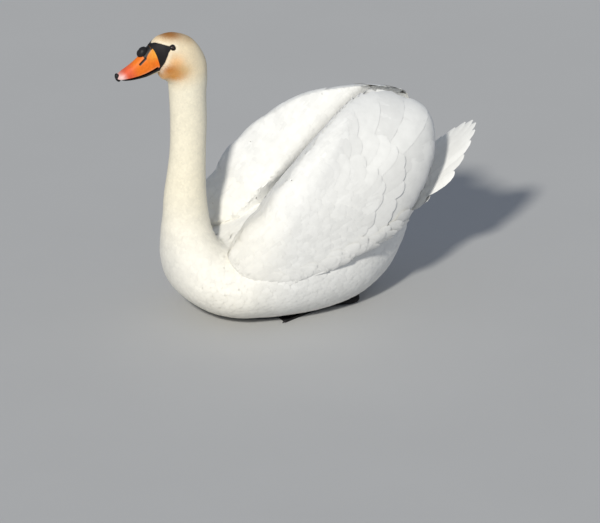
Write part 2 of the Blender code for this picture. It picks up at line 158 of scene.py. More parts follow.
# %% [markdown]
# ## The arched wing
# When a swan arches its wings, each one is a dome: its ridge runs up from the shoulder and back over the
# body, and the long feathers fan out behind it and curl inwards. The dome is worked out in two turns: one
# round the shoulder, and one that goes from the crown of the outer side over the ridge to the inner side.

# %% Wing surface
HUB = (-0.100, 0.190)  # y, z of the shoulder, from which the long feathers fan out
WING_EDGE = (  # y, z and distance from the middle of the swan
    (0.158, 0.168, 0.112),  # rear corner, over the tail's root
    (0.182, 0.200, 0.106),
    (0.216, 0.254, 0.096),
    (0.240, 0.316, 0.075),
    (0.236, 0.372, 0.045),
    (0.196, 0.398, 0.021),
    (0.132, 0.415, 0.010),  # top, where the two wings all but meet
    (0.080, 0.408, 0.032),
    (0.030, 0.389, 0.068),
    (-0.028, 0.349, 0.100),
    (-0.085, 0.298, 0.121),
    (-0.135, 0.236, 0.122),  # front of the ridge
    (-0.185, 0.180, 0.110),
    (-0.206, 0.146, 0.100),
    (-0.180, 0.110, 0.138),
    (-0.115, 0.098, 0.161),
    (-0.040, 0.108, 0.160),  # lower edge, on the flank
    (0.040, 0.130, 0.150),
    (0.105, 0.148, 0.130),
)
CROWN, DEPTH, HEART, EDGE_THICKNESS = 0.172, 0.120, 0.016, 0.003
FAN_FROM, FAN_TO, FAN_FEATHERS = math.radians(-8), math.radians(66), 10
RIDGE = math.pi / 2  # the turn at which the outer side passes over to the inner one
THIN_TO, THIN_FROM, FULL_BELOW = math.radians(62), math.radians(-24), math.radians(-40)


def wing_edge(angle):
    """Radius from the hub, and distance from the swan's middle, of the wing's edge at an angle round the
    hub."""
    rows = np.asarray(WING_EDGE)
    across, up = rows[:, 0] - HUB[0], rows[:, 1] - HUB[1]
    turn = np.unwrap(np.arctan2(up, across))
    wrapped = np.concatenate([turn - 2 * math.pi, turn, turn + 2 * math.pi])
    place = np.interp(angle, wrapped, np.arange(len(wrapped)))
    values = spline(np.tile(np.stack([np.hypot(across, up), rows[:, 2]], axis=1), (3, 1)), place)
    return values[..., 0], values[..., 1]


def from_rear(angle):
    """The same angle, told from half a turn below the rear to half a turn above it."""
    return (angle + math.pi) % (2 * math.pi) - math.pi


def fullness(angle):
    """0 where the wing is a thin hollow fan at the rear, 1 where it is full of flesh and scapulars."""
    angle = from_rear(angle)
    return np.maximum(smooth(0, THIN_TO, angle), smooth(THIN_FROM, FULL_BELOW, angle))


def wing_at(angle, share, past, side):
    """A point of the wing at a share of the radius: past tells how far it has turned past the ridge, and is
    below 0 outside. Outside, the distance from the swan falls as the cosine. Inside, it is hollow behind and
    full in front."""
    radius, edge = wing_edge(angle)
    full = 0.6 + (fullness(angle) - 0.6) * smooth(0.0, 0.3, share)
    outer = edge + (CROWN - edge) * np.sqrt(np.clip(1 - share**2, 0, 1))
    hollow = outer - DEPTH * (1 - share)
    heart = HEART + (edge - HEART) * share**1.8
    inner = hollow + (heart - hollow) * full - EDGE_THICKNESS * smooth(0, 0.2, past)
    reach = share * radius
    x = side * np.where(past > 0, inner, outer)
    return np.stack([x, HUB[0] + reach * np.cos(angle), HUB[1] + reach * np.sin(angle)], axis=-1)


def wing_point(angle, over, side=1, limit=1.0):
    """The same by a turn: over runs from the crown (0) to the ridge (a quarter turn) and on to the heart (a
    half)."""
    share = np.sin(over)
    share = np.where(over > RIDGE, share + (2 - over / RIDGE - share) * fullness(angle), share)
    return wing_at(angle, np.clip(share, 0, 1) * limit, over - RIDGE, side)


def wing_disc(side, inner=False):
    """One side of a wing laid out as a disc: the distance from its middle is how far the wing turns over, and
    1 is the ridge. Unlike the two turns, a disc has no pole that a feather could not cross."""

    def surface(p, q):
        over = RIDGE * np.hypot(p, q)
        return wing_point(np.arctan2(q, p), math.pi - over if inner else over, side)

    return surface


# %% A second layout for the small feathers
MIDDLE, MIDDLE_RADIUS = (0.02, 0.245), 0.18  # y, z and mean radius of the wing's outline
ROUND = around(2880)
OUTLINE = np.array(HUB) + wing_edge(ROUND)[0][:, None] * ray(ROUND)
FROM_MIDDLE = np.arctan2(OUTLINE[:, 1] - MIDDLE[1], OUTLINE[:, 0] - MIDDLE[0])
ORDER = np.argsort(FROM_MIDDLE)


def wing_sheet(side, inner=False):
    """One side of a wing laid out as a disc about the middle of its outline, where it is smooth in every
    direction. Small feathers lie on this one, because some of them cross the shoulder, where the other disc
    is pinched."""
    edge_reach = np.hypot(*(OUTLINE[ORDER] - MIDDLE).T)
    edge_fullness = fullness(ROUND)[ORDER]

    def surface(p, q):
        turned, angle = np.hypot(p, q), np.arctan2(q, p)
        past = (1 - turned) if inner else (turned - 1)
        share = np.sin(RIDGE * turned)
        full = np.interp(angle, FROM_MIDDLE[ORDER], edge_fullness, period=2 * math.pi)
        share = np.where(past > 0, share + (1 - np.abs(past) - share) * full, share)
        reach = np.interp(angle, FROM_MIDDLE[ORDER], edge_reach, period=2 * math.pi)
        reach = share * (MIDDLE_RADIUS + (reach - MIDDLE_RADIUS) * smooth(0, 0.7, share))
        across = MIDDLE[0] + reach * np.cos(angle) - HUB[0]
        up = MIDDLE[1] + reach * np.sin(angle) - HUB[1]
        angle = np.arctan2(up, across)
        share = np.clip(np.hypot(across, up) / wing_edge(angle)[0], 0, 1)
        return wing_at(angle, share, RIDGE * past, side)

    return surface


# %% [markdown]
# ## The raised tail
# A swan's tail is a short fan of stiff feathers with a wedge-shaped end. Its two faces are worked out
# together: an arched sheet for the top, and the same sheet less its thickness for the underside, which is
# deep at the root.

# %% Tail surface
TAIL_ROOT, TAIL_TIP = np.array((0.158, 0.156)), np.array((0.3560, 0.3160))  # y, z
TAIL_HALF_WIDTHS = ((0.040,), (0.060,), (0.073,), (0.080,), (0.081,))
TAIL_ARCH, TAIL_ROOT_THICKNESS, TAIL_TIP_THICKNESS = 0.013, 0.042, 0.0016
TAIL_LINE = TAIL_TIP - TAIL_ROOT
TAIL_NORMAL = np.array((-TAIL_LINE[1], TAIL_LINE[0])) / np.linalg.norm(TAIL_LINE)


def tail_point(across, share, under=False):
    """A point of the tail, across from -1 to 1 and along from its root (0) to its tip (1)."""
    half_width = spline(TAIL_HALF_WIDTHS, share * 4)[..., 0]
    reach = share * (1 - 0.5 * np.abs(across) ** 1.8)
    lift = -TAIL_ARCH * across**2 * (0.4 + 0.6 * share)
    if under:
        deep = np.clip(1 - share, 0, 1) ** 1.8
        lift = lift - TAIL_TIP_THICKNESS - TAIL_ROOT_THICKNESS * deep * (1 - 0.8 * across**2)
    y = TAIL_ROOT[0] + TAIL_LINE[0] * reach + TAIL_NORMAL[0] * lift
    z = TAIL_ROOT[1] + TAIL_LINE[1] * reach + TAIL_NORMAL[1] * lift
    return np.stack([half_width * across, y, z], axis=-1)


def tail_under(across, share):
    """The tail's underside."""
    return tail_point(across, share, under=True)


# %% [markdown]
# ## Slopes and normals
# Feathers need to know which way the surface runs below them. Rather than deriving each formula by hand, the
# two slopes are measured by stepping a little to either side, and their cross product gives the normal.

# %% Reading a surface
STEP = 0.004


def unit(vectors):
    """Vectors scaled to length 1."""
    return vectors / np.maximum(np.linalg.norm(vectors, axis=-1, keepdims=True), 1e-12)


def read_surface(surface, u, v, outward=1):
    """Point, slope along u, slope along v and unit normal; outward is -1 where u × v points inwards."""
    along_u = (surface(u + STEP, v) - surface(u - STEP, v)) / (2 * STEP)
    along_v = (surface(u, v + STEP) - surface(u, v - STEP)) / (2 * STEP)
    return surface(u, v), along_u, along_v, unit(np.cross(along_u, along_v)) * outward


def step_towards(along_u, along_v, direction):
    """How far u and v change for one metre over the surface in a direction: a least-squares fit by the two
    slopes."""
    uu, uv, vv = (np.sum(a * b, -1) for a, b in ((along_u, along_u), (along_u, along_v), (along_v, along_v)))
    on_u, on_v = np.sum(along_u * direction, -1), np.sum(along_v * direction, -1)
    spread = np.maximum(uu * vv - uv**2, 1e-14)
    du, dv = (on_u * vv - on_v * uv) / spread, (on_v * uu - on_u * uv) / spread
    length = np.linalg.norm(du[..., None] * along_u + dv[..., None] * along_v, axis=-1)
    return du / np.maximum(length, 1e-9), dv / np.maximum(length, 1e-9)


# %% [markdown]
# ## Markings
# The swan is white, but its neck is washed with cream and its head is stained with rust from muddy,
# iron-rich water. Bare black skin runs from the bill back to the eye. One function of place gives the
# colour, so that the skin and the feathers over it always carry the same markings.

# %% Colour of plumage and bare skin
EYE_CENTRE, EYE_RADIUS, EYE_RING = (0.0236, -0.2843, 0.5614), 0.0062, 0.0051
WHITE = np.array((0.93, 0.925, 0.895))
CREAM = np.array((0.93, 0.865, 0.69))
BUFF = np.array((0.90, 0.76, 0.53))
PALE = np.array((0.95, 0.87, 0.70))
BLACK = np.array((0.012, 0.011, 0.012))
STAINS = (  # centre y, z; radii y, z; strength; colour
    (-0.2880, 0.5815, 0.0300, 0.0066, 1.00, (0.40, 0.17, 0.045)),  # crown
    (-0.2500, 0.5720, 0.0180, 0.0075, 0.60, (0.55, 0.38, 0.20)),  # back of the crown
    (-0.3110, 0.5730, 0.0120, 0.0032, 0.60, (0.90, 0.66, 0.38)),  # pale brow
    (-0.2680, 0.5570, 0.0110, 0.0110, 0.60, (0.94, 0.80, 0.56)),  # behind the eye
    (-0.2850, 0.5330, 0.0140, 0.0130, 0.85, (0.95, 0.54, 0.23)),  # warm flush of the cheek
    (-0.2965, 0.5180, 0.0130, 0.0088, 1.00, (0.52, 0.15, 0.015)),  # cheek
    (-0.2830, 0.5160, 0.0160, 0.0095, 0.90, (0.64, 0.28, 0.07)),  # jaw
    (-0.2680, 0.5200, 0.0130, 0.0090, 0.60, (0.70, 0.48, 0.22)),  # behind the jaw
    (-0.2900, 0.5050, 0.0170, 0.0075, 0.95, (0.74, 0.33, 0.08)),  # throat
    (-0.2250, 0.5250, 0.0140, 0.0300, 0.45, (0.80, 0.74, 0.56)),  # nape
)
MASK = (  # outline of the bare skin in side view: y, z
    (-0.3500, 0.5698), (-0.3186, 0.5698), (-0.3129, 0.5701), (-0.3036, 0.5686), (-0.2974, 0.5670),
    (-0.2930, 0.5653), (-0.2890, 0.5645), (-0.2880, 0.5600), (-0.2907, 0.5563), (-0.2934, 0.5533),
    (-0.2959, 0.5469), (-0.2985, 0.5409), (-0.3008, 0.5346), (-0.3039, 0.5286), (-0.3068, 0.5219),
    (-0.3080, 0.5131), (-0.3500, 0.5090),
)
ORANGE_ON_SKIN = (  # outline of the orange that runs onto the skin
    (-0.3203, 0.5594), (-0.3176, 0.5549), (-0.3142, 0.5455), (-0.3112, 0.5342), (-0.3090, 0.5254),
    (-0.3095, 0.5225), (-0.3150, 0.5200), (-0.3500, 0.5050), (-0.3500, 0.5250), (-0.3327, 0.5427),
    (-0.3297, 0.5483), (-0.3243, 0.5550),
)


def distance_to_line(start, end, y, z):
    """Distance in side view to a straight line between two points: the foot of the upright, kept on it."""
    (y0, z0), (y1, z1) = start, end
    t = np.clip(((y - y0) * (y1 - y0) + (z - z0) * (z1 - z0)) / ((y1 - y0) ** 2 + (z1 - z0) ** 2), 0, 1)
    return np.hypot(y - y0 - t * (y1 - y0), z - z0 - t * (z1 - z0))


def distance_outside(outline, y, z):
    """Signed distance to a closed outline in side view, below 0 inside it: the nearest edge's distance, with
    the sign from counting how many edges a line to one side crosses."""
    nearest = np.full(np.shape(y), 1.0)
    crossings = np.zeros(np.shape(y), int)
    for (y0, z0), (y1, z1) in zip(outline, outline[1:] + outline[:1]):
        nearest = np.minimum(nearest, distance_to_line((y0, z0), (y1, z1), y, z))
        if z1 != z0:
            crossings += ((z0 > z) != (z1 > z)) & (y < y0 + (z - z0) / (z1 - z0) * (y1 - y0))
    return np.where(crossings % 2 == 1, -nearest, nearest)


def mask_distance(points):
    """Signed distance to the edge of the bare skin: its outline in side view, joined to a ring round the eye,
    and drawn down on the forehead, where the feathers end in a point between the two sides."""
    x, y, z = np.moveaxis(points, -1, 0)
    mask = distance_outside(MASK, y, z + 0.0025 * bell(x, 0.005))
    return np.minimum(mask, np.hypot(y - EYE_CENTRE[1], z - EYE_CENTRE[2]) - EYE_RING)


def bareness(points):
    """1 on the bare black skin before the eye, 0 under feathers, with a short ease between."""
    return 1 - smooth(-0.0004, 0.0006, mask_distance(points))


def mix(one, other, share):
    """Colours, or other sets of three or two numbers, drawn towards others by a share at each point."""
    return one + (np.array(other) - one) * share[..., None]


def plumage_colour(points):
    """White body, cream neck, buff head, a soft oval stain for each patch of rust, and a pale edge to the
    bare skin."""
    y, z = points[..., 1], points[..., 2]
    colour = mix(WHITE, CREAM, smooth(-0.10, -0.24, y) * (0.35 + 0.65 * smooth(0.12, 0.30, z)))
    colour = mix(colour, BUFF, smooth(0.478, 0.520, z - 0.25 * (y + 0.24)))
    for centre_y, centre_z, radius_y, radius_z, strength, stain in STAINS:
        away = ((y - centre_y) / radius_y) ** 2 + ((z - centre_z) / radius_z) ** 2
        colour = mix(colour, stain, strength * np.exp(-0.7 * away))
    return mix(colour, PALE, 0.75 * np.exp(-np.maximum(mask_distance(points), 0) / 0.0022))


# %% [markdown]
# The bill is orange, redder towards its tip and pale along the lip, and black at the nail, at the nostril
# and round the knob. Its colours are also a function of place, because a little of the orange runs onto the
# skin behind it.

# %% Colour of the bill
ORANGE = np.array((0.95, 0.215, 0.016))
BILL_BASE, BILL_END = np.array((-0.312, 0.537)), np.array((-0.389, 0.506))
NOSTRIL = ((-0.3345, 0.5412), (-0.3458, 0.5309))
KNOB_SHADE = (  # outline of the black round the knob, in side view
    (-0.3203, 0.5594), (-0.3243, 0.5550), (-0.3297, 0.5483), (-0.3327, 0.5427), (-0.3358, 0.5398),
    (-0.3385, 0.5445), (-0.3440, 0.5468), (-0.3490, 0.5480), (-0.3490, 0.5750), (-0.3203, 0.5750),
)
CHIN = (  # outline of the feathered skin between the two arms of the lower bill
    (-0.3000, 0.5160), (-0.3076, 0.5135), (-0.3300, 0.5056), (-0.3380, 0.5010), (-0.3380, 0.4900),
    (-0.3000, 0.4900),
)


def bill_colour(points):
    """Orange to red to pale pink along the bill's length, then black near the knob and in the nostril; the
    yellow on top near the root is a painted highlight.
    """
    y, z = points[..., 1], points[..., 2]
    line = BILL_END - BILL_BASE
    along = ((y - BILL_BASE[0]) * line[0] + (z - BILL_BASE[1]) * line[1]) / (line @ line)
    above = ((z - BILL_BASE[1]) * -line[0] + (y - BILL_BASE[0]) * line[1]) / np.linalg.norm(line)
    lip = smooth(0.004, -0.001, y * -0.42 + z - 0.6535)
    colour = ORANGE * np.ones(points.shape)
    for shade, amount in (
        # painted highlight: yellower orange on the top of the bill near its root
        ((0.92, 0.46, 0.06), 0.8 * smooth(0.30, -0.05, along) * smooth(-0.004, 0.012, above)),
        ((0.84, 0.12, 0.06), 0.85 * smooth(0.45, 0.75, along)),
        ((0.92, 0.36, 0.20), 0.55 * lip * smooth(0.75, 0.60, along)),
        ((0.95, 0.66, 0.62), 0.95 * smooth(0.76, 0.95, along) * smooth(0.010, 0.001, above)),
    ):
        colour = mix(colour, shade, amount)
    round_knob = smooth(0.0006, -0.0006, distance_outside(KNOB_SHADE, y, z))
    in_nostril = smooth(0.0027, 0.0014, distance_to_line(*NOSTRIL, y, z))
    return mix(colour, BLACK, np.maximum(round_knob, in_nostril))


# %% [markdown]
# ## Meshes from arrays
# Every new piece is computed as arrays of points and faces. These helpers hand them to Blender in one go,
# and give closed tubes and balls their faces.

# %% Mesh helpers
SHARP = math.radians(60)  # edges bent by more than this stay sharp in the shading
made = {}


def new_mesh(name, points, *face_sets):
    """A mesh from points and arrays of faces, each array with one number of corners."""
    mesh = bpy.data.meshes.new(name)
    points = np.asarray(points, np.float32).reshape(-1, 3)
    mesh.vertices.add(len(points))
    mesh.vertices.foreach_set("co", points.ravel())
    corners = np.concatenate([faces.ravel() for faces in face_sets]).astype(np.int32)
    sizes = np.concatenate([np.full(len(faces), faces.shape[1]) for faces in face_sets])
    mesh.loops.add(len(corners))
    mesh.loops.foreach_set("vertex_index", corners)
    mesh.polygons.add(len(sizes))
    mesh.polygons.foreach_set("loop_start", np.concatenate([[0], np.cumsum(sizes)[:-1]]).astype(np.int32))
    mesh.update(calc_edges=True)
    return mesh


def tube_faces(rings, sides, first=0):
    """Quads between rings of points, closed round each ring."""
    i, j = (index.ravel() for index in grid(np.arange(rings - 1), np.arange(sides)))
    k = (j + 1) % sides
    below, above = first + i * sides, first + (i + 1) * sides
    return np.stack([below + j, below + k, above + k, above + j], axis=1)


def closed_tubes(name, *tubes):
    """A closed mesh from arrays of rings (rings, around, 3), each end drawn to a point at its middle, with
    its faces pointing outwards."""
    points, quads, caps, first = [], [], [], 0
    for rings in tubes:
        count, sides = rings.shape[:2]
        end = first + count * sides
        near = first + np.arange(sides)
        after = first + (np.arange(sides) + 1) % sides
        last = (count - 1) * sides
        points += [rings.reshape(-1, 3), np.stack([rings[0].mean(0), rings[-1].mean(0)])]
        quads.append(tube_faces(count, sides, first))
        caps.append(np.stack([np.full(sides, end), after, near], axis=1))
        caps.append(np.stack([np.full(sides, end + 1), last + near, last + after], axis=1))
        first = end + 2
    mesh = new_mesh(name, np.concatenate(points), np.concatenate(quads), np.concatenate(caps))
    if volume(mesh) < 0:
        mesh.flip_normals()
    return mesh


def volume(mesh):
    """Signed volume, from the tetrahedra between the origin and each triangle: below 0 when faces point
    inwards."""
    mesh.calc_loop_triangles()
    corners = np.empty(len(mesh.loop_triangles) * 3, np.int32)
    mesh.loop_triangles.foreach_get("vertices", corners)
    a, b, c = read_points(mesh)[corners.reshape(-1, 3)].transpose(1, 0, 2)
    return float(np.einsum("ij,ij->", a, np.cross(b, c)) / 6)


def read_points(mesh):
    """A mesh's points as an array."""
    points = np.empty(len(mesh.vertices) * 3, np.float32)
    mesh.vertices.foreach_get("co", points)
    return points.reshape(-1, 3).astype(float)


def write_attribute(mesh, name, kind, field, values):
    """Stores a value for each point, in a named field of the attribute's own kind."""
    mesh.attributes.new(name, kind, "POINT").data.foreach_set(field, np.asarray(values, np.float32).ravel())


def write_tint(mesh, colours):
    """Gives each point its own colour, or all of them one colour, as the attribute tint."""
    colours = np.broadcast_to(colours, (len(mesh.vertices), 3))
    write_attribute(mesh, "tint", "FLOAT_COLOR", "color", np.insert(colours, 3, 1.0, axis=1))


def add_piece(name, mesh, material, replaces=()):
    """Puts a mesh into the scene as a piece of the swan."""
    mesh.materials.clear()
    mesh.materials.append(material)
    mesh.shade_smooth()
    mesh.set_sharp_from_angle(angle=SHARP)
    piece = bpy.data.objects.new(name, mesh)
    bpy.context.scene.collection.objects.link(piece)
    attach(piece, "root")
    if replaces:
        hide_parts(*replaces)
    mesh.calc_loop_triangles()
    made[name] = len(mesh.loop_triangles)
    print(f"{name}: {made[name]} triangles")


# %% [markdown]
# ## Materials
# A small class lets shader maths read as plain expressions. Feathers are matt, with fine barbs slanting off
# each shaft; bare skin is finely pebbled; horn is smooth with a soft gloss. Every piece carries its markings
# in the attribute tint, and its material only makes them a little uneven.


# %% Shader expressions
class Wire:
    """A node's output that can be used in sums: each operator adds a Math node."""

    def __init__(self, tree, socket):
        self.tree, self.socket = tree, socket

    def maths(self, operation, *values):
        node = self.tree.nodes.new("ShaderNodeMath")
        node.operation = operation
        for socket, value in zip(node.inputs, values):
            connect(self.tree, value, socket)
        return Wire(self.tree, node.outputs[0])

    def __add__(self, other):
        return self.maths("ADD", self, other)

    def __sub__(self, other):
        return self.maths("SUBTRACT", self, other)

    def __rsub__(self, other):
        return self.maths("SUBTRACT", other, self)

    def __mul__(self, other):
        return self.maths("MULTIPLY", self, other)

    __radd__, __rmul__ = __add__, __mul__

    def absolute(self):
        return self.maths("ABSOLUTE", self)

    def wave(self):
        return self.maths("SINE", self)


def connect(tree, value, socket):
    """Links a wire to a socket, or sets a plain value on it."""
    if isinstance(value, Wire):
        tree.links.new(value.socket, socket)
    else:
        socket.default_value = value


class Finish:
    """A material being built round its Principled shader."""

    def __init__(self, name, **constants):
        self.material = bpy.data.materials.new(name)
        self.material.use_nodes = True
        self.tree = self.material.node_tree
        self.shader = self.tree.nodes["Principled BSDF"]
        for socket, value in constants.items():
            self.shader.inputs[socket.replace("_", " ")].default_value = value

    def node(self, kind, settings=(), output=0, **values):
        """Any node: its settings first, then its sockets, named with _ for a space or n0, n1... by number."""
        node = self.tree.nodes.new("ShaderNode" + kind)
        for key, value in dict(settings).items():
            setattr(node, key, value)
        for key, value in values.items():
            number = key[1:].isdigit() and key[0] == "n"
            socket = node.inputs[int(key[1:])] if number else node.inputs[key.replace("_", " ")]
            connect(self.tree, value, socket)
        return Wire(self.tree, node.outputs[output])

    def attribute(self, name, output):
        """A value that the mesh carries at its points."""
        return self.node("Attribute", {"attribute_name": name}, output)

    def split(self, vector):
        """The three numbers of a vector."""
        node = self.tree.nodes.new("ShaderNodeSeparateXYZ")
        connect(self.tree, vector, node.inputs[0])
        return [Wire(self.tree, socket) for socket in node.outputs]

    def place(self):
        """Where a point is, in metres."""
        return self.node("TexCoord", output="Object")

    def noise(self, scale, detail=3.0, roughness=0.5):
        """Cloudy noise in place."""
        place = self.place()
        return self.node("TexNoise", Vector=place, Scale=scale, Detail=detail, Roughness=roughness)

    def shade(self, value, source, shades):
        """A number that runs between two shades as a value runs over its source range."""
        (low, high), (dark, light) = source, shades
        return self.node("MapRange", Value=value, From_Min=low, From_Max=high, To_Min=dark, To_Max=light)

    def tinted(self, value, source, shades):
        """The piece's own markings, made lighter and darker by a shade."""
        shade = self.shade(value, source, shades)
        grey = self.node("CombineColor", Red=shade, Green=shade, Blue=shade)
        settings = {"data_type": "RGBA", "blend_type": "MULTIPLY"}
        return self.node("Mix", settings, 2, n0=1.0, n6=self.attribute("tint", "Color"), n7=grey)

    def bump(self, height, strength, distance):
        """A normal that is tipped by the slope of a height."""
        return self.node("Bump", Height=height, Strength=strength, Distance=distance)

    def set(self, **links):
        """Feeds the shader's sockets and returns the material."""
        for socket, value in links.items():
            connect(self.tree, value, self.shader.inputs[socket.replace("_", " ")])
        return self.material


# %% Plumage
def plumage_material(name, barbs):
    """Tinted vanes: the tint varies a little from feather to feather, and barbs slant off the shaft as fine
    ribs. The attribute vane holds metres across from the shaft, metres along it, and a random number."""
    finish = Finish(name, Specular_IOR_Level=0.2)
    across, along, chance = finish.split(finish.attribute("vane", "Vector"))
    slant = along - 0.8 * across.absolute()
    ribs = (slant * barbs).wave() * 0.5 + 0.5
    cloud = finish.noise(60.0, 2.0)
    return finish.set(
        Base_Color=finish.tinted(cloud * 0.7 + chance * 0.3, (0.25, 0.75), (0.93, 1.03)),
        Roughness=0.62 + 0.2 * cloud,
        Normal=finish.bump(ribs * 0.6 + finish.noise(900.0, 2.0) * 0.4, 0.16, 0.0002),
    )


down_finish = plumage_material("soft_plumage", 9000.0)
vane_finish = plumage_material("firm_vanes", 6500.0)


# %% Skin, horn, eye and floor
def skin_material():
    """White skin under the feathers, and black skin, smoother and finely pebbled, where the attribute bare is
    1."""
    finish = Finish("skin", Specular_IOR_Level=0.22)
    bare = finish.attribute("bare", "Fac")
    pebbles = finish.node("TexVoronoi", Vector=finish.place(), Scale=1100.0)
    cloud = finish.noise(240.0, 4.0)
    return finish.set(
        Base_Color=finish.tinted(cloud, (0.3, 0.8), (0.85, 1.15)),
        Roughness=0.80 - 0.25 * bare + 0.10 * cloud,
        Normal=finish.bump(pebbles * 0.5 + cloud, 0.35, 0.0004),
    )


def horn_material(name, roughness, grain, coat=0.0):
    """Horn: a tint that darkens a little in blotches, and a fine grain under a soft gloss."""
    finish = Finish(name, Specular_IOR_Level=0.28, Coat_Roughness=0.15)
    cloud = finish.noise(grain, 4.0, 0.6)
    return finish.set(
        Base_Color=finish.tinted(cloud, (0.25, 0.8), (0.80, 1.10)),
        Roughness=roughness + 0.15 * cloud,
        Coat_Weight=coat,
        Normal=finish.bump(finish.noise(grain * 4, 3.0), 0.25, 0.0003),
    )


def floor_material():
    """A plain mid grey with faint clouds."""
    finish = Finish("studio_floor", Specular_IOR_Level=0.3)
    tone = finish.shade(finish.noise(3.0, 4.0), (0.0, 1.0), (0.50, 0.53))
    grey = finish.node("CombineColor", Red=tone, Green=tone, Blue=tone * 0.99)
    return finish.set(Base_Color=grey, Roughness=0.8)


skin_finish = skin_material()
bill_finish = horn_material("bill_horn", 0.42, 180.0)
black_finish = horn_material("black_horn", 0.42, 300.0)
eye_finish = horn_material("eye_gloss", 0.04, 900.0, coat=1.0)
print("finishes:", len(bpy.data.materials))

# %% [markdown]
# ## One skin
# Below the feathers the swan has one skin. It is made of closed surfaces for the body, the fleshy part of
# each wing, the root of the tail and the legs, each sunk below the solids by the depth of the coat there, and
# joined by Boolean unions so that no seam is left. Round the eye the skin is raised into a lid.

# %% Coat depth
WING_COAT = 0.0055
COAT_PLACES = (0, 2, 8, 11, 14, 17, 19, 22, 24)  # stations
COAT_DEPTHS = (4, 5, 4.5, 3.4, 2.4, 2.0, 1.5, 1.0, 0.7)  # millimetres


def coat_depth(place):
    """How deep the feathers are: deep on the trunk, thin on the neck, almost nothing on the face."""
    return np.interp(place, COAT_PLACES, COAT_DEPTHS) / 1000


# %% Skin of the body
SKIN_RUNS = (  # from station, to station, rings between: closest at the eyes
    (0.005, 0.4, 10), (0.4, 11, 60), (11, 18, 44), (18, 21, 40), (21, 23, 100), (23, 24, 40),
)
SKIN_COLUMNS, EYE_DEGREES, EYE_CROWD = 240, (34, 146), 14
SKIN_FLOOR = 0.0005  # the lowest height of the skin


def eyelid(points):
    """How far the skin rises round the eye and sinks inside it: a ring-shaped ridge about an oval opening."""
    across = (points[..., 1] - EYE_CENTRE[1]) / 1.12
    away = np.hypot(across, points[..., 2] - EYE_CENTRE[2])
    lid, pit = 0.0017 * bell(away - 0.0040, 0.0009), -0.0050 * smooth(0.0035, 0.0027, away)
    return (lid + pit) * (np.abs(points[..., 0]) > 0.012)


def body_skin():
    """The body's loft, with rings and columns drawn together at the eyes, and the bare skin left unsunk."""
    places = [np.linspace(first, last, count, endpoint=False) for first, last, count in SKIN_RUNS]
    degrees = np.linspace(0, 360, 721)
    crowd = np.cumsum(1 + 2.5 * sum(bell(degrees - middle, EYE_CROWD) for middle in EYE_DEGREES))
    even = np.linspace(crowd[0], crowd[-1], SKIN_COLUMNS, endpoint=False)
    u, v = grid(np.concatenate(places + [[len(BODY) - 1]]), np.radians(np.interp(even, crowd, degrees)))
    points, _, _, normals = read_surface(body_point, u, v, -1)
    depth = coat_depth(u) * (1 - bareness(points))
    depth = np.where(points[..., 2] < 0.004, np.minimum(depth, 0.003), depth)
    moved = points - normals * depth[..., None] + normals * eyelid(points)[..., None]
    moved[..., 2] = np.maximum(moved[..., 2], SKIN_FLOOR)
    return closed_tubes("body_skin", moved)


def wing_skin(side):
    """The wing's flesh: the dome without the free ends of the fan, its two faces drawn together by the
    coat."""
    angle, over = grid(around(96), np.linspace(0.03, math.pi - 0.03, 48))
    degrees = np.degrees(from_rear(angle))
    fan = smooth(-35, -12, degrees) * smooth(64, 42, degrees)
    points = wing_point(angle, over, limit=0.975 - 0.06 * fan)
    points[..., 0] += WING_COAT * np.where(over < RIDGE, -1, 1)
    return closed_tubes("wing_skin", (points * (side, 1, 1)).transpose(1, 0, 2))


def tail_skin():
    """The fleshy root of the tail: the fan's two faces as far as the quills' roots, drawn in by the coat."""
    across, end = np.linspace(-0.8, 0.8, 24), 0.42
    rings = []
    for share in np.linspace(0.02, end, 14):
        shares = np.full(len(across), share)
        top, under = tail_point(across, shares), tail_under(across[::-1], shares)
        middle = (top.mean(0) + under.mean(0)) / 2
        rings.append(middle + (np.concatenate([top, under]) - middle) * (0.86 - 0.45 * (share / end) ** 3))
    return closed_tubes("tail_skin", np.stack(rings))


# %% Legs, folded under the body
FOOT_HEEL, FOOT_TURN = (0.066, 0.014), math.radians(2)
TOE_LENGTH, TOE_SPREAD, TOE_HEIGHT, WEB_THICKNESS = 0.126, math.radians(24), 0.0060, 0.0028
SHANK = (  # x, y, z from the heel of the toes to the ankle and up into the belly
    (0.066, 0.002, 0.0078), (0.068, 0.040, 0.0082), (0.070, 0.074, 0.0088), (0.068, 0.078, 0.014),
    (0.066, 0.075, 0.020), (0.062, 0.060, 0.045),
)
SHANK_RINGS, SHANK_SHOWN, SHANK_REACH = 40, 32, 0.0105  # the last rings are inside the belly
SHANK_FLOOR, SOLE = 0.0004, 0.0002  # lowest heights of the shank and of the web
WEB_TOP, WEB_INSIDE, WEB_MIDDLE, WEB_REACH = 0.0075, 0.062, -0.045, 0.08  # z below, x beyond, y about


def web_skin(side):
    """A webbed foot: reach swings out at each of three toes, whose tops stand up as rounded ribs with
    knuckles."""
    share, angle = grid(np.linspace(0.08, 1.0, 40), np.linspace(-1, 1, 61))
    toe = np.cos(math.pi * angle) ** 2
    reach = TOE_LENGTH * (0.86 + 0.14 * toe**2) * (1 - 0.10 * np.abs(angle)) * share
    heading = angle * TOE_SPREAD + side * FOOT_TURN
    x = side * FOOT_HEEL[0] + reach * np.sin(heading)
    y = FOOT_HEEL[1] - reach * np.cos(heading)
    knuckles = 0.0008 * np.sin(3 * TURN * share) ** 2
    rib = (TOE_HEIGHT - WEB_THICKNESS + knuckles) * toe**6 * (1.1 - 0.6 * share)
    top = np.stack([x, y, WEB_THICKNESS * (1 - 0.6 * share**4) + rib], axis=-1)
    sole = np.stack([x, y, np.full(x.shape, SOLE)], axis=-1)
    return closed_tubes("web", np.concatenate([top, sole[:, ::-1]], axis=1))


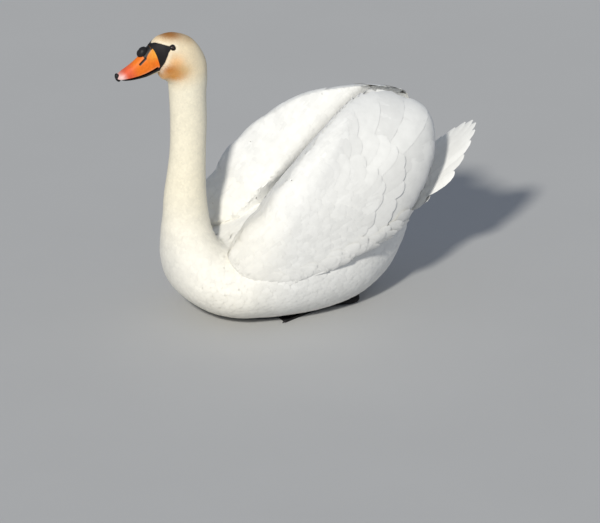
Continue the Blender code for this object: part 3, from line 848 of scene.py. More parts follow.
def shank_path(side):
    """Points along the middle of the shank."""
    return spline(np.array(SHANK) * (side, 1, 1), np.linspace(0, len(SHANK) - 1, SHANK_RINGS))


def rings_round(path, across, up, radius, sides):
    """Round rings about the points of a path: the cosine of the turn goes across, its sine up."""
    turn = around(sides)
    ring = np.cos(turn)[None, :, None] * across + np.sin(turn)[None, :, None] * up
    return path[:, None] + ring * radius[:, None, None]


def shank_skin(side):
    """A rounded tube along the shank from the toes to the ankle and up into the belly."""
    path = shank_path(side)
    forward = unit(np.gradient(path, axis=0))
    across = unit(np.cross(forward, (0.0, 0.0, 1.0)) + (1e-6, 0, 0))
    radius = np.interp(np.arange(SHANK_RINGS), (0, 5, 22, 26, 39), (0.0060, 0.0068, 0.0070, 0.0080, 0.0075))
    rings = rings_round(path, across[:, None], np.cross(across, forward)[:, None], radius, 20)
    rings[..., 2] = np.maximum(rings[..., 2], SHANK_FLOOR)
    return closed_tubes("shank", rings)


# %% Join the skin
FLESH = (
    "trunk", "neck_lower", "neck_middle", "neck_upper", "head", "face_mask", "wing_left", "wing_right",
    "tail", "leg_left", "leg_right",
)


def union(one, other):
    """One closed mesh from two, by an exact Boolean union."""
    objects = [bpy.data.objects.new("union", mesh) for mesh in (one, other)]
    for obj in objects:
        bpy.context.scene.collection.objects.link(obj)
    join = objects[0].modifiers.new("join", "BOOLEAN")
    join.operation, join.object, join.solver = "UNION", objects[1], "EXACT"
    graph = bpy.context.evaluated_depsgraph_get()
    joined = bpy.data.meshes.new_from_object(objects[0].evaluated_get(graph))
    for obj in objects:
        bpy.data.objects.remove(obj)
    return joined


skin_mesh = union(body_skin(), tail_skin())
for side in (1, -1):
    for part in (wing_skin(side), union(web_skin(side), shank_skin(side))):
        skin_mesh = union(skin_mesh, part)
        litres = volume(skin_mesh) * 1000
        print(f"skin so far: {len(skin_mesh.vertices)} points, {litres:.3f} litres")

# %% Colour the skin
points = read_points(skin_mesh)
folded = np.abs(points) * (1, 0, 1) + points * (0, 1, 0)  # both feet laid on one side
to_shank = np.linalg.norm(folded[:, None] - shank_path(1)[None, :SHANK_SHOWN], axis=-1).min(1)
x, y, z = folded.T
web = (z < WEB_TOP) & (x > WEB_INSIDE) & (np.abs(y - WEB_MIDDLE) < WEB_REACH)
bare = np.maximum(bareness(points), (to_shank < SHANK_REACH) | web)
orange = smooth(0.0004, -0.0004, distance_outside(ORANGE_ON_SKIN, points[:, 1], points[:, 2]))
orange = orange * (points[:, 1] < -0.30)
colours = mix(mix(plumage_colour(points) * 0.97, BLACK, bare), bill_colour(points), orange)
write_tint(skin_mesh, colours)
write_attribute(skin_mesh, "bare", "FLOAT", "value", bare)
add_piece("skin", skin_mesh, skin_finish, FLESH)

# %% [markdown]
# ## Bill, knob and nail
# The bill is horn over bone, in two halves. Each half is lofted through the same stations as its solid. The
# slot of the nostril is pressed into the upper half, a rim runs along its lip, and the nail caps its end.

# %% Bill
UPPER_BILL = (
    (-0.3243, 0.5625, -0.3090, 0.5215, 0.0178, 2.3, 0.10),
    (-0.3390, 0.5480, -0.3265, 0.5130, 0.0165, 2.3, 0.12),
    (-0.3510, 0.5370, -0.3430, 0.5072, 0.0152, 2.3, 0.15),
    (-0.3655, 0.5262, -0.3610, 0.5040, 0.0146, 2.3, 0.20),
    (-0.3775, 0.5182, -0.3755, 0.5028, 0.0142, 2.3, 0.28),
    (-0.3860, 0.5120, -0.3855, 0.5025, 0.0112, 2.2, 0.38),
    (-0.3905, 0.5080, -0.3900, 0.5040, 0.0050, 2.0, 0.50),
)
LOWER_BILL = (
    (-0.3085, 0.5185, -0.3060, 0.5075, 0.0140, 2.2, 0.65),
    (-0.3265, 0.5112, -0.3265, 0.5030, 0.0135, 2.2, 0.65),
    (-0.3430, 0.5062, -0.3430, 0.5005, 0.0125, 2.2, 0.65),
    (-0.3600, 0.5032, -0.3600, 0.4990, 0.0112, 2.2, 0.65),
    (-0.3740, 0.5020, -0.3740, 0.4990, 0.0085, 2.2, 0.65),
    (-0.3810, 0.5018, -0.3810, 0.5002, 0.0035, 2.0, 0.65),
)
KNOB_CENTRE, KNOB_RADII, KNOB_LEAN = (0.0, -0.3368, 0.5508), (0.0095, 0.0120, 0.0092), math.radians(42)
NAIL_CENTRE, NAIL_RADII, NAIL_LEAN = (0.0, -0.3878, 0.5060), (0.0064, 0.0050, 0.0092), math.radians(22)


def upper_bill():
    """The upper half: its loft, with the nostril pressed in and a rim along the lip. A last, smaller ring at
    its root stands inside the skin, so that no gap shows between them."""
    place, turn = grid(np.linspace(0, len(UPPER_BILL) - 1, 170), around(144))
    points, _, _, normals = read_surface(lambda u, v: oval(UPPER_BILL, u, v), place, turn, -1)
    slot = distance_to_line(*NOSTRIL, points[..., 1], points[..., 2])
    press = -0.0011 * bell(slot, 0.0016) * (np.abs(points[..., 0]) > 0.004)
    lip = 0.0004 * sum(bell(turn - math.radians(degrees), 0.12) for degrees in (348, 192))
    points = points + normals * (press + lip)[..., None]
    middle = points[0].mean(0)
    root = middle + (points[:1] - middle) * 0.93 + (0, 0.0034, 0.0014)
    mesh = closed_tubes("bill_upper_horn", np.concatenate([root, points]))
    write_tint(mesh, bill_colour(read_points(mesh)))
    add_piece("bill_upper_horn", mesh, bill_finish, ["bill_upper"])


def lower_bill():
    """The lower half: its loft, black, with the feathered chin between its arms."""
    mesh = closed_tubes(
        "bill_lower_horn", oval(LOWER_BILL, *grid(np.linspace(0, len(LOWER_BILL) - 1, 70), around(64)))
    )
    places = read_points(mesh)
    chin = smooth(0.0005, -0.0005, distance_outside(CHIN, places[:, 1], places[:, 2]))
    write_tint(mesh, mix(BLACK, BUFF * 0.9, chin))
    add_piece("bill_lower_horn", mesh, black_finish, ["bill_lower"])


def ball(radii, lumps=0.0, rings=40, sides=56):
    """A ball with three radii, its surface swelling and sinking in a few slow waves."""
    polar, turn = grid(np.linspace(0.02, math.pi - 0.02, rings), around(sides))
    waves = np.sin(3 * turn + 1) * np.sin(2 * polar) + 0.6 * np.sin(5 * turn) * np.sin(3 * polar)
    shape = np.stack([np.sin(polar) * np.cos(turn), np.sin(polar) * np.sin(turn), np.cos(polar)], axis=-1)
    return shape * (1 + lumps * waves)[..., None] * radii


def black_ball(name, centre, radii, lean, lumps, node):
    """A black ball that leans about the X axis."""
    x, y, z = np.moveaxis(ball(radii, lumps), -1, 0)
    y, z = y * math.cos(lean) - z * math.sin(lean), y * math.sin(lean) + z * math.cos(lean)
    mesh = closed_tubes(name, np.stack([x, y, z], axis=-1) + centre)
    write_tint(mesh, BLACK * 1.3)
    add_piece(name, mesh, black_finish, [node])


upper_bill()
lower_bill()
black_ball("knob", KNOB_CENTRE, KNOB_RADII, KNOB_LEAN, 0.03, "bill_knob")
black_ball("nail", NAIL_CENTRE, NAIL_RADII, NAIL_LEAN, 0.0, "bill_nail")

# %% [markdown]
# ## Eyes
# A swan's eye is small and very dark brown, and only the front of it shows between the lids. A ball is
# enough, but its front is bulged into a cornea, and its colour goes from a black pupil through brown to a
# dark rim.

# %% Eyes
EYE_DARK, EYE_BROWN = np.array((0.006, 0.005, 0.005)), np.array((0.045, 0.018, 0.008))


def eye(name, side, node):
    """A ball with a slightly bulged front and rings of colour about its outward axis."""
    shape = ball((1.0, 1.0, 1.0), rings=48, sides=64)
    outward = unit(np.array((side * 1.0, -0.42, 0.10)))
    bulge = 1 + 0.05 * smooth(0.82, 0.97, shape @ outward)
    centre = np.array(EYE_CENTRE) * (side, 1, 1)
    mesh = closed_tubes(name, shape * (EYE_RADIUS * bulge)[..., None] + centre)
    facing = unit(read_points(mesh) - centre) @ outward
    iris = smooth(0.80, 0.86, facing) * smooth(0.965, 0.95, facing)
    write_tint(mesh, EYE_DARK + EYE_BROWN * iris[:, None])
    add_piece(name, mesh, eye_finish, [node])


eye("eyeball_left", 1, "eye_left")
eye("eyeball_right", -1, "eye_right")

# %% [markdown]
# ## Claws
# Small dark claws stand at the tips of each foot's three toes. Each one is a circle carried along a short
# curved path and drawn to a point.

# %% Claws
CLAW_FLOOR = 0.0003  # the lowest height of a claw


def claw(side, toe):
    """Rings of a curved cone at the end of one toe, kept above the floor."""
    heading = toe * TOE_SPREAD * 0.97 + side * FOOT_TURN
    forward = np.array((math.sin(heading), -math.cos(heading), 0.0))
    across, up = np.array((math.cos(heading), math.sin(heading), 0.0)), np.array((0.0, 0.0, 1.0))
    toe_tip = forward * TOE_LENGTH * (1 - 0.10 * abs(toe)) * 0.985
    start = np.array((side * FOOT_HEEL[0], FOOT_HEEL[1], 0.0026)) + toe_tip
    t = np.linspace(0, 1, 14)
    path = start + forward * (0.009 * t)[:, None] + up * (0.0012 * np.sin(t * 3) - 0.0016 * t)[:, None]
    rings = rings_round(path, across, up, 0.0021 * np.sqrt(1 - t * 0.98), 14)
    rings[..., 2] = np.maximum(rings[..., 2], CLAW_FLOOR)
    return rings


claw_mesh = closed_tubes("claws", *[claw(side, toe) for side in (1, -1) for toe in (-1, 0, 1)])
write_tint(claw_mesh, BLACK * 2.5)
add_piece("claws", claw_mesh, black_finish)

# %% [markdown]
# ## Feathers
# Particle hair is the usual way to cover an animal, but a feather is a flat vane with a shape of its own, so
# each one is a thin closed mesh. First roots are spread over a surface, then each feather is combed: it walks
# over the surface along the lie of the coat. Last a vane is draped over that walk, low at its root and
# standing clear of its neighbours at its tip, so that rows overlap like tiles.

# %% Spread the roots
PLASTIC_STEPS = 0.7548776662466927, 0.5698402909980532  # 1/p and 1/p², where p is the plastic number


def scatter(surface, u_range, v_range, spacing, cells=(150, 190)):
    """Roots spread evenly over a surface, each with about spacing² to itself. A sequence that fills the unit
    square evenly is bent by the running totals of area over spacing²."""
    u_edges, v_edges = np.linspace(*u_range, cells[0] + 1), np.linspace(*v_range, cells[1] + 1)
    u, v = grid(u_edges[:-1] + np.diff(u_edges) / 2, v_edges[:-1] + np.diff(v_edges) / 2)
    _, along_u, along_v, _ = read_surface(surface, u, v)
    cell = (u_edges[1] - u_edges[0]) * (v_edges[1] - v_edges[0])
    density = np.linalg.norm(np.cross(along_u, along_v), axis=-1) * cell / spacing(u, v) ** 2
    count = int(density.sum())
    number = np.arange(count) + 0.5
    first, second = (number * step % 1 for step in PLASTIC_STEPS)
    rows = np.concatenate([[0], np.cumsum(density.sum(1))])
    u_at = np.interp(first, rows / rows[-1], u_edges)
    row = np.minimum(((u_at - u_edges[0]) / (u_edges[1] - u_edges[0])).astype(int), cells[0] - 1)
    totals = np.concatenate([np.zeros((cells[0], 1)), np.cumsum(density, 1)], axis=1)
    totals = totals / np.maximum(totals[:, -1:], 1e-12) * (1 - 1e-9) + np.arange(cells[0])[:, None]
    v_at = np.interp(row + second, totals.ravel(), np.tile(v_edges, cells[0]))
    return u_at, v_at


# %% Comb them
SOFT_STATIONS, SOFT_WIDTHS = (0.0, 0.30, 0.58, 0.80, 0.93, 1.0), (0.40, 0.86, 1.00, 0.84, 0.52, 0.16)
STRETCH_ALONG, STRETCH_ACROSS = 1.2, 1.1  # a step over the surface is cut where it goes further than this


def comb(surface, u, v, heading, length, stray):
    """Walks from each root over the surface: at every station it asks for the lie of the coat there, turned
    by the feather's own stray angle, and goes on by its share of the length. A step that turns out too long,
    as one over a sharp ridge would, is cut short."""
    us, vs = [u], [v]
    for gap in np.diff(SOFT_STATIONS):
        points, along_u, along_v, normals = read_surface(surface, us[-1], vs[-1])
        direction = unit(heading(points, along_u, along_v))
        direction = direction + np.cross(normals, direction) * stray[:, None]
        du, dv = (part * gap * length for part in step_towards(along_u, along_v, direction))
        gone = np.linalg.norm(surface(us[-1] + du, vs[-1] + dv) - points, axis=-1)
        kept = np.minimum(1, STRETCH_ALONG * gap * length / np.maximum(gone, 1e-9))
        us.append(us[-1] + du * kept)
        vs.append(vs[-1] + dv * kept)
    return np.stack(us, axis=1), np.stack(vs, axis=1)


# %% Drape the vanes
SOFT_THICKNESS, LONG_THICKNESS, TAIL_THICKNESS = 0.0005, 0.0008, 0.0012
CAMBER = 0.07  # how far a soft vane's sides hang down, as a share of its half width


def drape(surface, us, vs, width, profile, heights, thickness, outward, across_points=3, tilt=0.0, camber=0.0,
          ragged=0.07):
    """Closed vanes over their walks. Each station is a ring: across the top from left to right on the
    surface, and back below it by the thickness, which falls to nothing at the sides. A tilt raises one side,
    and a camber lowers both sides by a share of the half width. Each ring's width is a little off, by as much
    as ragged tells."""
    points, along_u, along_v, normals = read_surface(surface, us, vs, outward)
    forward = unit(np.gradient(points, axis=1))
    du, dv = step_towards(along_u, along_v, unit(np.cross(forward, normals)))
    half = np.asarray(width)[:, None] * np.asarray(profile)[None] / 2
    half = (half * random.uniform(1 - ragged, 1 + ragged, us.shape))[..., None]
    q = np.linspace(-1, 1, across_points)
    q = np.concatenate([q, q[1:-1][::-1]])
    face = np.concatenate([np.ones(across_points), -np.ones(across_points - 2)])
    offset = q * half
    middle = points[:, :, None]
    away = surface(us[..., None] + du[..., None] * offset, vs[..., None] + dv[..., None] * offset) - middle
    kept = np.minimum(1, STRETCH_ACROSS * np.abs(offset) / np.maximum(np.linalg.norm(away, axis=-1), 1e-9))
    lift = heights[..., None] + face * thickness * (1 - q**2) / 2 + tilt * offset - camber * q**2 * half
    ring = middle + away * kept[..., None] + normals[:, :, None] * lift[..., None]
    metres_along = np.cumsum(np.linalg.norm(np.gradient(points, axis=1), axis=-1), axis=1)
    return ring, offset, np.broadcast_to(metres_along[..., None], offset.shape)


def vane_faces(count, stations, ring):
    """Faces of all vanes: a tube of quads for each, and a cap at both ends."""
    first = (np.arange(count) * stations * ring)[:, None, None]
    sides = (first + tube_faces(stations, ring)).reshape(-1, 4)
    root = (first[:, 0] + np.arange(ring)[::-1]).reshape(-1, ring)
    tip = (first[:, 0] + (stations - 1) * ring + np.arange(ring)).reshape(-1, ring)
    return sides, root, tip


PATCH = 0.003  # side of a feather's patch on the baking map
LOWEST = 0.0004  # no feather goes below this height


def add_feathers(name, groups, material):
    """Joins groups of vanes into one piece. Its baking map has one small patch for each feather, at the place
    of its root on the unwrapped skin."""
    points, tints, vanes, maps, face_sets = [], [], [], [], {}
    first = 0
    for ring, across, along, roots, colours in groups:
        count, stations, sides = ring.shape[:3]
        for faces in vane_faces(count, stations, sides):
            face_sets.setdefault(faces.shape[1], []).append(faces + first)
        points.append(ring.reshape(-1, 3))
        tints.append(np.broadcast_to(colours[:, None, None], ring.shape).reshape(-1, 3))
        chance = np.broadcast_to(random.random(count)[:, None, None], across.shape)
        vanes.append(np.stack([across, along, chance], axis=-1).reshape(-1, 3))
        width = np.abs(across).max(axis=(1, 2), keepdims=True) + 1e-9
        height = along.max(axis=(1, 2), keepdims=True) + 1e-9
        patch = np.stack([across / width / 2, along / height - 0.5], axis=-1) * PATCH
        maps.append((roots[:, None, None] + patch).reshape(-1, 2))
        first += count * stations * sides
    points, maps = np.concatenate(points), np.concatenate(maps)
    points[:, 2] = np.maximum(points[:, 2], LOWEST)
    mesh = new_mesh(name, points, *[np.concatenate(faces) for faces in face_sets.values()])
    write_tint(mesh, np.concatenate(tints))
    write_attribute(mesh, "vane", "FLOAT_VECTOR", "vector", np.concatenate(vanes))
    corners = np.empty(len(mesh.loops), np.int32)
    mesh.loops.foreach_get("vertex_index", corners)
    mesh.uv_layers.new(name="OFBake").data.foreach_set("uv", maps[corners].astype(np.float32).ravel())
    add_piece(name, mesh, material)
    print(name + ":", sum(len(group[0]) for group in groups), "feathers")


# %% [markdown]
# ### Body, neck and head
# On the body the feathers lie from bill to tail. They are longest on the flanks and shrink up the neck, to
# tiny ones of a few millimetres on the face. None grow on the bare skin, nor where the belly rests.

# %% Feathers of the body
BODY_PLACES = (0, 6, 9, 11, 13, 17, 19, 24)  # stations
BODY_SPACINGS = (10.5, 10.5, 8.5, 6, 4.4, 3.6, 2.6, 2.0)  # millimetres from feather to feather
LENGTHS, WIDTHS, THICKNESSES = 2.6, 1.8, 0.04  # of a feather, in spacings
BELLY_BARE, MASK_GAP, VENT_GAP = 0.007, 0.0005, 0.008  # no feather at these heights, distances and stations


def body_spacing(place, turn):
    """Distance from feather to feather, the same all round the body."""
    return np.interp(place, BODY_PLACES, BODY_SPACINGS) / 1000


def down_the_body(points, along_u, along_v):
    """The lie of the coat on the body: back towards the vent."""
    return -along_u


def body_feathers(name, first, last):
    """Soft feathers over one length of the body."""
    u, v = scatter(body_point, (first, last), (0, TURN), body_spacing)
    points = body_point(u, v)
    keep = (points[:, 2] > BELLY_BARE) & (mask_distance(points) > MASK_GAP)
    u, v, points = u[keep], v[keep], points[keep]
    spacing, count = body_spacing(u, v), len(u)
    size, stray = random.uniform(0.9, 1.15, count), random.normal(0, 0.09, count)
    us, vs = comb(body_point, u, v, down_the_body, spacing * LENGTHS * size, stray)
    us = np.maximum(us, VENT_GAP)
    rise = np.interp(SOFT_STATIONS, (0, 0.35, 0.8, 1), (0.2, 0.86, 0.98, 1.0))
    heights = -coat_depth(us) * (1 - rise * random.uniform(0.95, 1.0, (count, 1)))
    width, thickness = spacing * WIDTHS * size, spacing.mean() * THICKNESSES
    vanes = drape(body_point, us, vs, width, SOFT_WIDTHS, heights, thickness, -1, camber=CAMBER)
    colours = plumage_colour(points) * random.uniform(0.97, 1.01, (count, 1))
    roots = np.stack([v / TURN, (u - first) / (last - first)], axis=1) * 0.98 + 0.01
    add_feathers(name, [(*vanes, roots, colours)], down_finish)


body_feathers("plumage_trunk", 0.05, BREAST)
body_feathers("plumage_breast", BREAST, NECK_ROOT)
body_feathers("plumage_neck_lower", NECK_ROOT, NECK_MIDDLE)
body_feathers("plumage_neck_upper", NECK_MIDDLE, NAPE)
body_feathers("plumage_head", NAPE, BROW)

# %% [markdown]
# ### Wings
# A wing wears several kinds of feather. The long flight feathers fan out behind and end in round tips. Over
# their roots lie two rows of greater and median coverts, and small coverts cover the rest up to the ridge.
# Along the ridge and down the inner side lie the scapulars, and smaller coverts line the hollow below the
# fan.

# %% Lie of the coat on the wing
ORIGIN = (-0.30, 0.05)  # the small coverts spread out from this y, z, below the breast
REARWARD = np.array((0.86, 0.50))  # y, z


def round_the_hub(points):
    """Angle round the shoulder and share of the wing's radius at points of a wing."""
    across, up = points[..., 1] - HUB[0], points[..., 2] - HUB[1]
    angle = from_rear(np.arctan2(up, across))
    return angle, np.hypot(across, up) / wing_edge(angle)[0]


def over_the_wing(points, along_u, along_v):
    """In front the coat spreads from a point below the breast, behind it fans out from the shoulder, and near
    the ridge it lies along the ridge."""
    from_hub = points[..., 1:] - HUB
    flat = mix(unit(points[..., 1:] - ORIGIN), unit(from_hub), smooth(0.04, 0.20, from_hub @ REARWARD))
    angle, share = round_the_hub(points)
    behind, ahead = (wing_edge(turn)[0][..., None] * ray(turn) for turn in (angle - 0.05, angle + 0.05))
    near_ridge = smooth(0.70, 0.94, share) * smooth(math.radians(50), math.radians(72), angle)
    flat = mix(flat, unit(behind - ahead), near_ridge)
    return np.concatenate([np.zeros(flat.shape[:-1] + (1,)), flat], axis=-1)


def wing_tint(points, low=0.95):
    """White, a little greyer at random."""
    return plumage_colour(points) * random.uniform(low, 1.0, (len(points), 1))


# %% Rows of long feathers
LONG_STATIONS = (0.0, 0.14, 0.32, 0.50, 0.66, 0.79, 0.87, 0.925, 0.962, 0.986, 1.0)
LONG_WIDTHS = (0.50, 0.66, 0.84, 0.95, 1.0, 0.99, 0.92, 0.79, 0.60, 0.38, 0.12)
RIM = 0.9996  # the greatest share of the radius, because the surface turns over at 1
LAP = 0.008  # how far the tips inside the wing lap over its edge, so that no slit is left
EVEN = 0.012  # how ragged a long feather's width is


def disc_roots(p, q, inner):
    """Where a root lies on the unwrapped skin: the outer disc on the left half of the map, the inner on the
    right."""
    return np.stack([p * 0.23 + (0.75 if inner else 0.25), q * 0.46 + 0.5], axis=1)


def fan_row(side, count, angles, start, ends, width, heights, tilt, jitter=0.0, inner=False):
    """A row of long feathers along rays from the shoulder, each from its start to its end share of the
    radius."""
    surface = wing_disc(side, inner)
    k = (np.arange(count) + 0.5) / count
    angle = angles[0] + (angles[1] - angles[0]) * k + random.normal(0, jitter, count)
    end = np.interp(k, np.linspace(0, 1, len(ends)), ends) + random.normal(0, jitter * 0.6, count)
    end = np.minimum(end[:, None], RIM)
    full = fullness(angle)[:, None] if inner else 0.0
    first, last = (np.arcsin(share) / RIDGE * (1 - full) + share * full for share in (start, end))
    last = last + (LAP if inner else 0.0)
    from_middle = first + (last - first) * LONG_STATIONS
    us, vs = from_middle * np.cos(angle)[:, None], from_middle * np.sin(angle)[:, None]
    lift = np.interp(LONG_STATIONS, (0, 0.5, 1), heights) + 0 * us
    outward, widths = -side if inner else side, np.full(count, width)
    vanes = drape(surface, us, vs, widths, LONG_WIDTHS, lift, LONG_THICKNESS, outward, 7, tilt, ragged=EVEN)
    return (*vanes, disc_roots(us[:, 0], vs[:, 0], inner), wing_tint(surface(us[:, 4], vs[:, 4]), 0.93))


# %% Small coverts
INNER_LIMITS = (0.90, 0.93, 0.99)  # how far tips reach inside, where the wing is thin, half full and full
OVER_RIDGE = 1.02  # how far tips reach over the ridge
FLANK_DEGREES = (-128, -85, -40, -6)  # the flank's row, from the breast to the rear
FLANK_RISE = 0.55  # radians by which the flank's feathers point up


def wing_cover(side, inner, spacing, length, width, rise, keep):
    """Small feathers over the parts of one side of a wing that keep(angle, share, points) chooses. They are
    combed twice: those that would reach past the ridge, or inside the fan to its thin edge, are made
    shorter."""
    surface = wing_sheet(side, inner)
    u, v = scatter(surface, (-1, 1), (-1, 1), lambda p, q: spacing + 10 * (np.hypot(p, q) > 1.0))
    points = surface(u, v)
    angle, share = round_the_hub(points)
    limit = np.interp(fullness(angle), (0, 0.5, 1), INNER_LIMITS) if inner else np.ones(len(u))
    in_fan = inner & (angle > math.radians(-40)) & (angle < math.radians(100))
    chosen = keep(angle, share, points) & (share < np.where(in_fan, limit - 0.03, 1.0))
    u, v, points, limit, share = u[chosen], v[chosen], points[chosen], limit[chosen], share[chosen]
    count = len(u)
    size, stray = random.uniform(0.9, 1.15, count), random.normal(0, 0.08, count)
    us, vs = comb(surface, u, v, over_the_wing, length * size, stray)
    tip_share = round_the_hub(surface(us[:, -1], vs[:, -1]))[1]
    turned, tip_turned = np.hypot(u, v), np.hypot(us[:, -1], vs[:, -1])
    shorter = np.where(tip_share > limit, (limit - share) / np.maximum(tip_share - share, 1e-6), 1)
    past_ridge = (OVER_RIDGE - turned) / (tip_turned - turned)
    shorter = np.minimum(shorter, np.where(tip_turned > OVER_RIDGE, past_ridge, 1))
    size = size * np.clip(shorter, 0.25, 1)
    us, vs = comb(surface, u, v, over_the_wing, length * size, stray)
    rises = np.interp(SOFT_STATIONS, (0, 0.35, 1.0), rise) * random.uniform(0.95, 1.02, (count, 1))
    lift, outward = -WING_COAT * (1 - rises), -side if inner else side
    widths = width * np.maximum(size, 0.6)
    vanes = drape(surface, us, vs, widths, SOFT_WIDTHS, lift, SOFT_THICKNESS, outward, camber=CAMBER)
    return (*vanes, disc_roots(u, v, inner), wing_tint(points))


def flank_row(side, radius, count, length, width, rise):
    """Loose feathers of the flank, which spring from the wing's lower edge and lie over it, ruffled at the
    rear."""
    surface = wing_disc(side)
    k = (np.arange(count) + 0.5 + random.uniform(-0.3, 0.3, count)) / count
    angle = np.radians(np.interp(k, (0, 0.3, 0.6, 1), FLANK_DEGREES))
    u, v = radius * np.cos(angle), radius * np.sin(angle)
    size = (0.8 + 0.4 * k) * random.uniform(0.85, 1.15, count)

    def rearward(points, along_u, along_v):
        return np.broadcast_to((0.0, math.cos(FLANK_RISE), math.sin(FLANK_RISE)), points.shape)

    us, vs = comb(surface, u, v, rearward, length * size, random.normal(0, 0.05 + 0.15 * k))
    ruffled = (0.4 + k * random.uniform(0.4, 1.2, count))[:, None]
    lift = np.interp(SOFT_STATIONS, (0, 0.3, 1), (-0.0035, 0.0, rise)) * ruffled
    vanes = drape(surface, us, vs, width * size, SOFT_WIDTHS, lift, SOFT_THICKNESS, side, camber=0.10)
    return (*vanes, disc_roots(u, v, False), wing_tint(surface(u, v), 0.96))


# %% Dress both wings
FAN, HALF_STEP = (FAN_FROM, FAN_TO), (FAN_TO - FAN_FROM) / FAN_FEATHERS / 2
BETWEEN, INSET = (FAN[0] + HALF_STEP, FAN[1] + HALF_STEP), (FAN[0] + 0.02, FAN[1] - 0.02)
THIN = (FAN[0] + 0.08, math.radians(58))
# feathers, angles, start, ends, width, heights from root to tip, tilt, jitter
FLIGHT_ROWS = (
    (FAN_FEATHERS, FAN, 0.45, (RIM, RIM), 0.066, (-0.0044, -0.0030, -0.0008), 0.022),
    (FAN_FEATHERS, BETWEEN, 0.45, (0.9985, 0.9985), 0.064, (-0.0056, -0.0040, -0.0017), 0.022),
)
COVERT_ROWS = (
    (14, FAN, 0.32, (0.80, 0.75, 0.74, 0.80, 0.90), 0.046, (-0.0040, -0.0024, -0.0010), 0.035, 0.012),
    (16, INSET, 0.22, (0.62, 0.59, 0.59, 0.64, 0.72), 0.040, (-0.0036, -0.0014, 0.0), 0.035, 0.02),
)
INNER_ROW = (11, THIN, 0.74, (0.9985, RIM), 0.056, (-0.0030, -0.0014, 0.0004), -0.022)
# radius, feathers, length, width, height of the tips
FLANK_ROWS = (
    (0.84, 24, 0.046, 0.030, 0.0022),
    (0.91, 26, 0.050, 0.032, 0.0034),
    (0.97, 28, 0.052, 0.032, 0.0046),
)
# spacing, length, width, rise out of the coat from root to tip
OUTER_COAT = (0.0108, 0.034, 0.0265, (0.3, 0.90, 1.0))
SCAPULAR_COAT = (0.0105, 0.034, 0.027, (0.3, 0.90, 1.0))
LINING_COAT = (0.013, 0.038, 0.025, (0.5, 0.92, 1.0))


def outer_front(angle, share, points):
    """All of the outer side but the rear fan and the flank below the wing."""
    fan = (angle > FAN_FROM + 0.06) & (angle < FAN_TO - 0.20)
    return ~(fan & (share > 0.50)) & (points[:, 2] > 0.10)


def scapulars(angle, share, points):
    """The full part of the inner side."""
    return fullness(angle) > 0.5


def lining(angle, share, points):
    """The hollow part of the inner side."""
    return ~scapulars(angle, share, points)


def wing_feathers(side, word):
    """All the feathers of one wing, in three pieces."""
    flights = [fan_row(side, *row) for row in FLIGHT_ROWS]
    coverts = [fan_row(side, *row) for row in COVERT_ROWS]
    coverts.append(wing_cover(side, False, *OUTER_COAT, outer_front))
    coverts += [flank_row(side, *row) for row in FLANK_ROWS]
    inside = [
        wing_cover(side, True, *SCAPULAR_COAT, scapulars),
        wing_cover(side, True, *LINING_COAT, lining),
        fan_row(side, *INNER_ROW, inner=True),
    ]
    add_feathers("flight_feathers_" + word, flights, vane_finish)
    add_feathers("coverts_" + word, coverts, vane_finish)
    add_feathers("inner_coverts_" + word, inside, down_finish)


wing_feathers(1, "left")
wing_feathers(-1, "right")

# %% [markdown]
# ### Tail
# Ten stiff tail feathers spread from the root like a fan, each overlapping the next, with soft coverts over
# and under their roots.

# %% Tail feathers
TAIL_FEATHERS, TAIL_FEATHER_WIDTH, TAIL_SPREAD, TAIL_FROM = 10, 0.036, 0.88, 0.12
TAIL_STATIONS = (0.0, 0.2, 0.4, 0.6, 0.78, 0.90, 0.97, 1.0)
TAIL_WIDTHS = (0.40, 0.65, 0.85, 1.0, 0.98, 0.80, 0.45, 0.12)
TAIL_HEIGHTS, TAIL_TILT = (-0.001, -0.0008, -0.0004), 0.03
TAIL_COVERT_LENGTH, TAIL_COVERT_WIDTH = 0.036, 0.022


def tail_roots(across, share):
    """Where a root lies on the tail's own map."""
    return np.stack([across * 0.48 + 0.5, share * 0.9 + 0.05], axis=1)


def tail_rays():
    """The fan of long feathers over the top of the tail."""
    t = np.array(TAIL_STATIONS)
    across = np.linspace(-1, 1, TAIL_FEATHERS)[:, None] * TAIL_SPREAD * (0.75 + 0.25 * t)[None]
    shares = TAIL_FROM + (1.0 - TAIL_FROM) * t[None] + 0 * across
    lift = np.interp(t, (0, 0.5, 1), TAIL_HEIGHTS)[None] + 0 * across
    widths = np.full(TAIL_FEATHERS, TAIL_FEATHER_WIDTH)
    vanes = drape(
        tail_point, across, shares, widths, TAIL_WIDTHS, lift, TAIL_THICKNESS, 1, 7, TAIL_TILT, ragged=EVEN
    )
    return (*vanes, tail_roots(across[:, 0], shares[:, 0]), wing_tint(tail_point(across[:, 3], shares[:, 3])))


def down_the_tail(points, along_u, along_v):
    """The lie of the coat on the tail: from root to tip."""
    return along_v


def tail_cover(surface, outward, spacing, reach):
    """Soft coverts over the root of one face of the tail."""
    u, v = scatter(surface, (-0.95, 0.95), (0.02, reach), lambda a, b: spacing + 0 * a, (60, 60))
    size = random.uniform(0.85, 1.2, len(u))
    us, vs = comb(surface, u, v, down_the_tail, TAIL_COVERT_LENGTH * size, random.normal(0, 0.10, len(u)))
    lift = np.interp(SOFT_STATIONS, (0, 0.35, 0.7, 1.0), (-0.0040, -0.0012, 0.0006, 0.0014)) + 0 * us
    widths = TAIL_COVERT_WIDTH * size
    vanes = drape(surface, us, vs, widths, SOFT_WIDTHS, lift, SOFT_THICKNESS, outward, camber=CAMBER)
    return (*vanes, tail_roots(u, v), wing_tint(surface(u, v)))


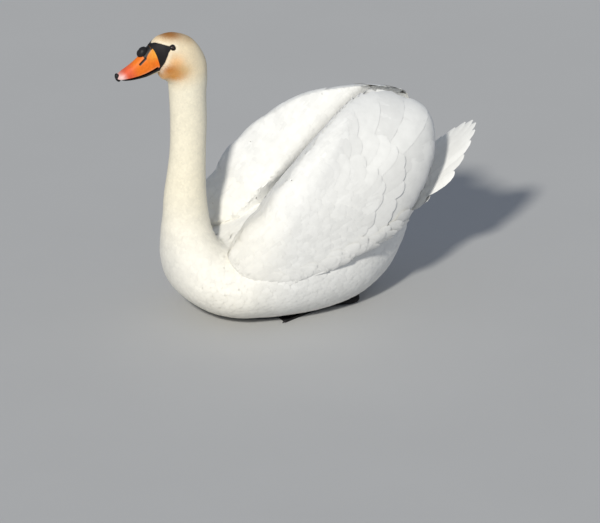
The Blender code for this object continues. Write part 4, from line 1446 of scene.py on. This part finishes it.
tail_groups = [tail_rays(), tail_cover(tail_point, 1, 0.011, 0.34), tail_cover(tail_under, -1, 0.012, 0.42)]
add_feathers("tail_feathers", tail_groups, vane_finish)

# %% [markdown]
# ## Floor, light and camera
# The model rests on a plain floor. A far, slightly warm lamp in front of the swan's left side gives the light
# a direction, and a pale blue sky fills the shade. The camera looks down a little on the swan's left side
# from far away.

# %% Stage
bpy.ops.mesh.primitive_plane_add(size=30)
floor = bpy.context.object
floor.name = "floor"
floor.data.materials.append(floor_material())

world = bpy.data.worlds.new("studio")
bpy.context.scene.world = world
world.use_nodes = True
sky = world.node_tree.nodes["Background"]
sky.inputs["Color"].default_value = (0.62, 0.70, 0.85, 1)
sky.inputs["Strength"].default_value = 0.40

LAMP_AZIMUTH, LAMP_ELEVATION = -38, 33  # degrees; azimuth 0 is the swan's left, and minus its front
lamp_data = bpy.data.lights.new("sun", "SUN")
lamp_data.energy, lamp_data.angle, lamp_data.color = 2.75, math.radians(5), (1.0, 0.97, 0.90)
lamp = bpy.data.objects.new("sun", lamp_data)
bpy.context.scene.collection.objects.link(lamp)
lamp.rotation_euler = (math.radians(90 - LAMP_ELEVATION), 0, math.radians(LAMP_AZIMUTH + 90))

# %% Camera
VIEW_TURN, VIEW_RISE, VIEW_DISTANCE, VIEW_WIDTH = math.radians(22), math.radians(21), 20.0, 1.165
AIM = np.array((0.0092, -0.0148, 0.0784))
view = bpy.data.cameras.new("camera")
view.sensor_width = 36
view.lens = view.sensor_width * VIEW_DISTANCE / VIEW_WIDTH
view.clip_end = 100
camera = bpy.data.objects.new("camera", view)
bpy.context.scene.collection.objects.link(camera)
level, rise = math.cos(VIEW_RISE), math.sin(VIEW_RISE)
back = np.array((math.cos(VIEW_TURN) * level, -math.sin(VIEW_TURN) * level, rise))
camera.location = AIM + back * VIEW_DISTANCE
camera.rotation_euler = (math.pi / 2 - VIEW_RISE, 0, math.pi / 2 - VIEW_TURN)
bpy.context.scene.camera = camera
bpy.context.scene.view_settings.view_transform = "Standard"

# %% Finish
print("triangles in all:", sum(made.values()))
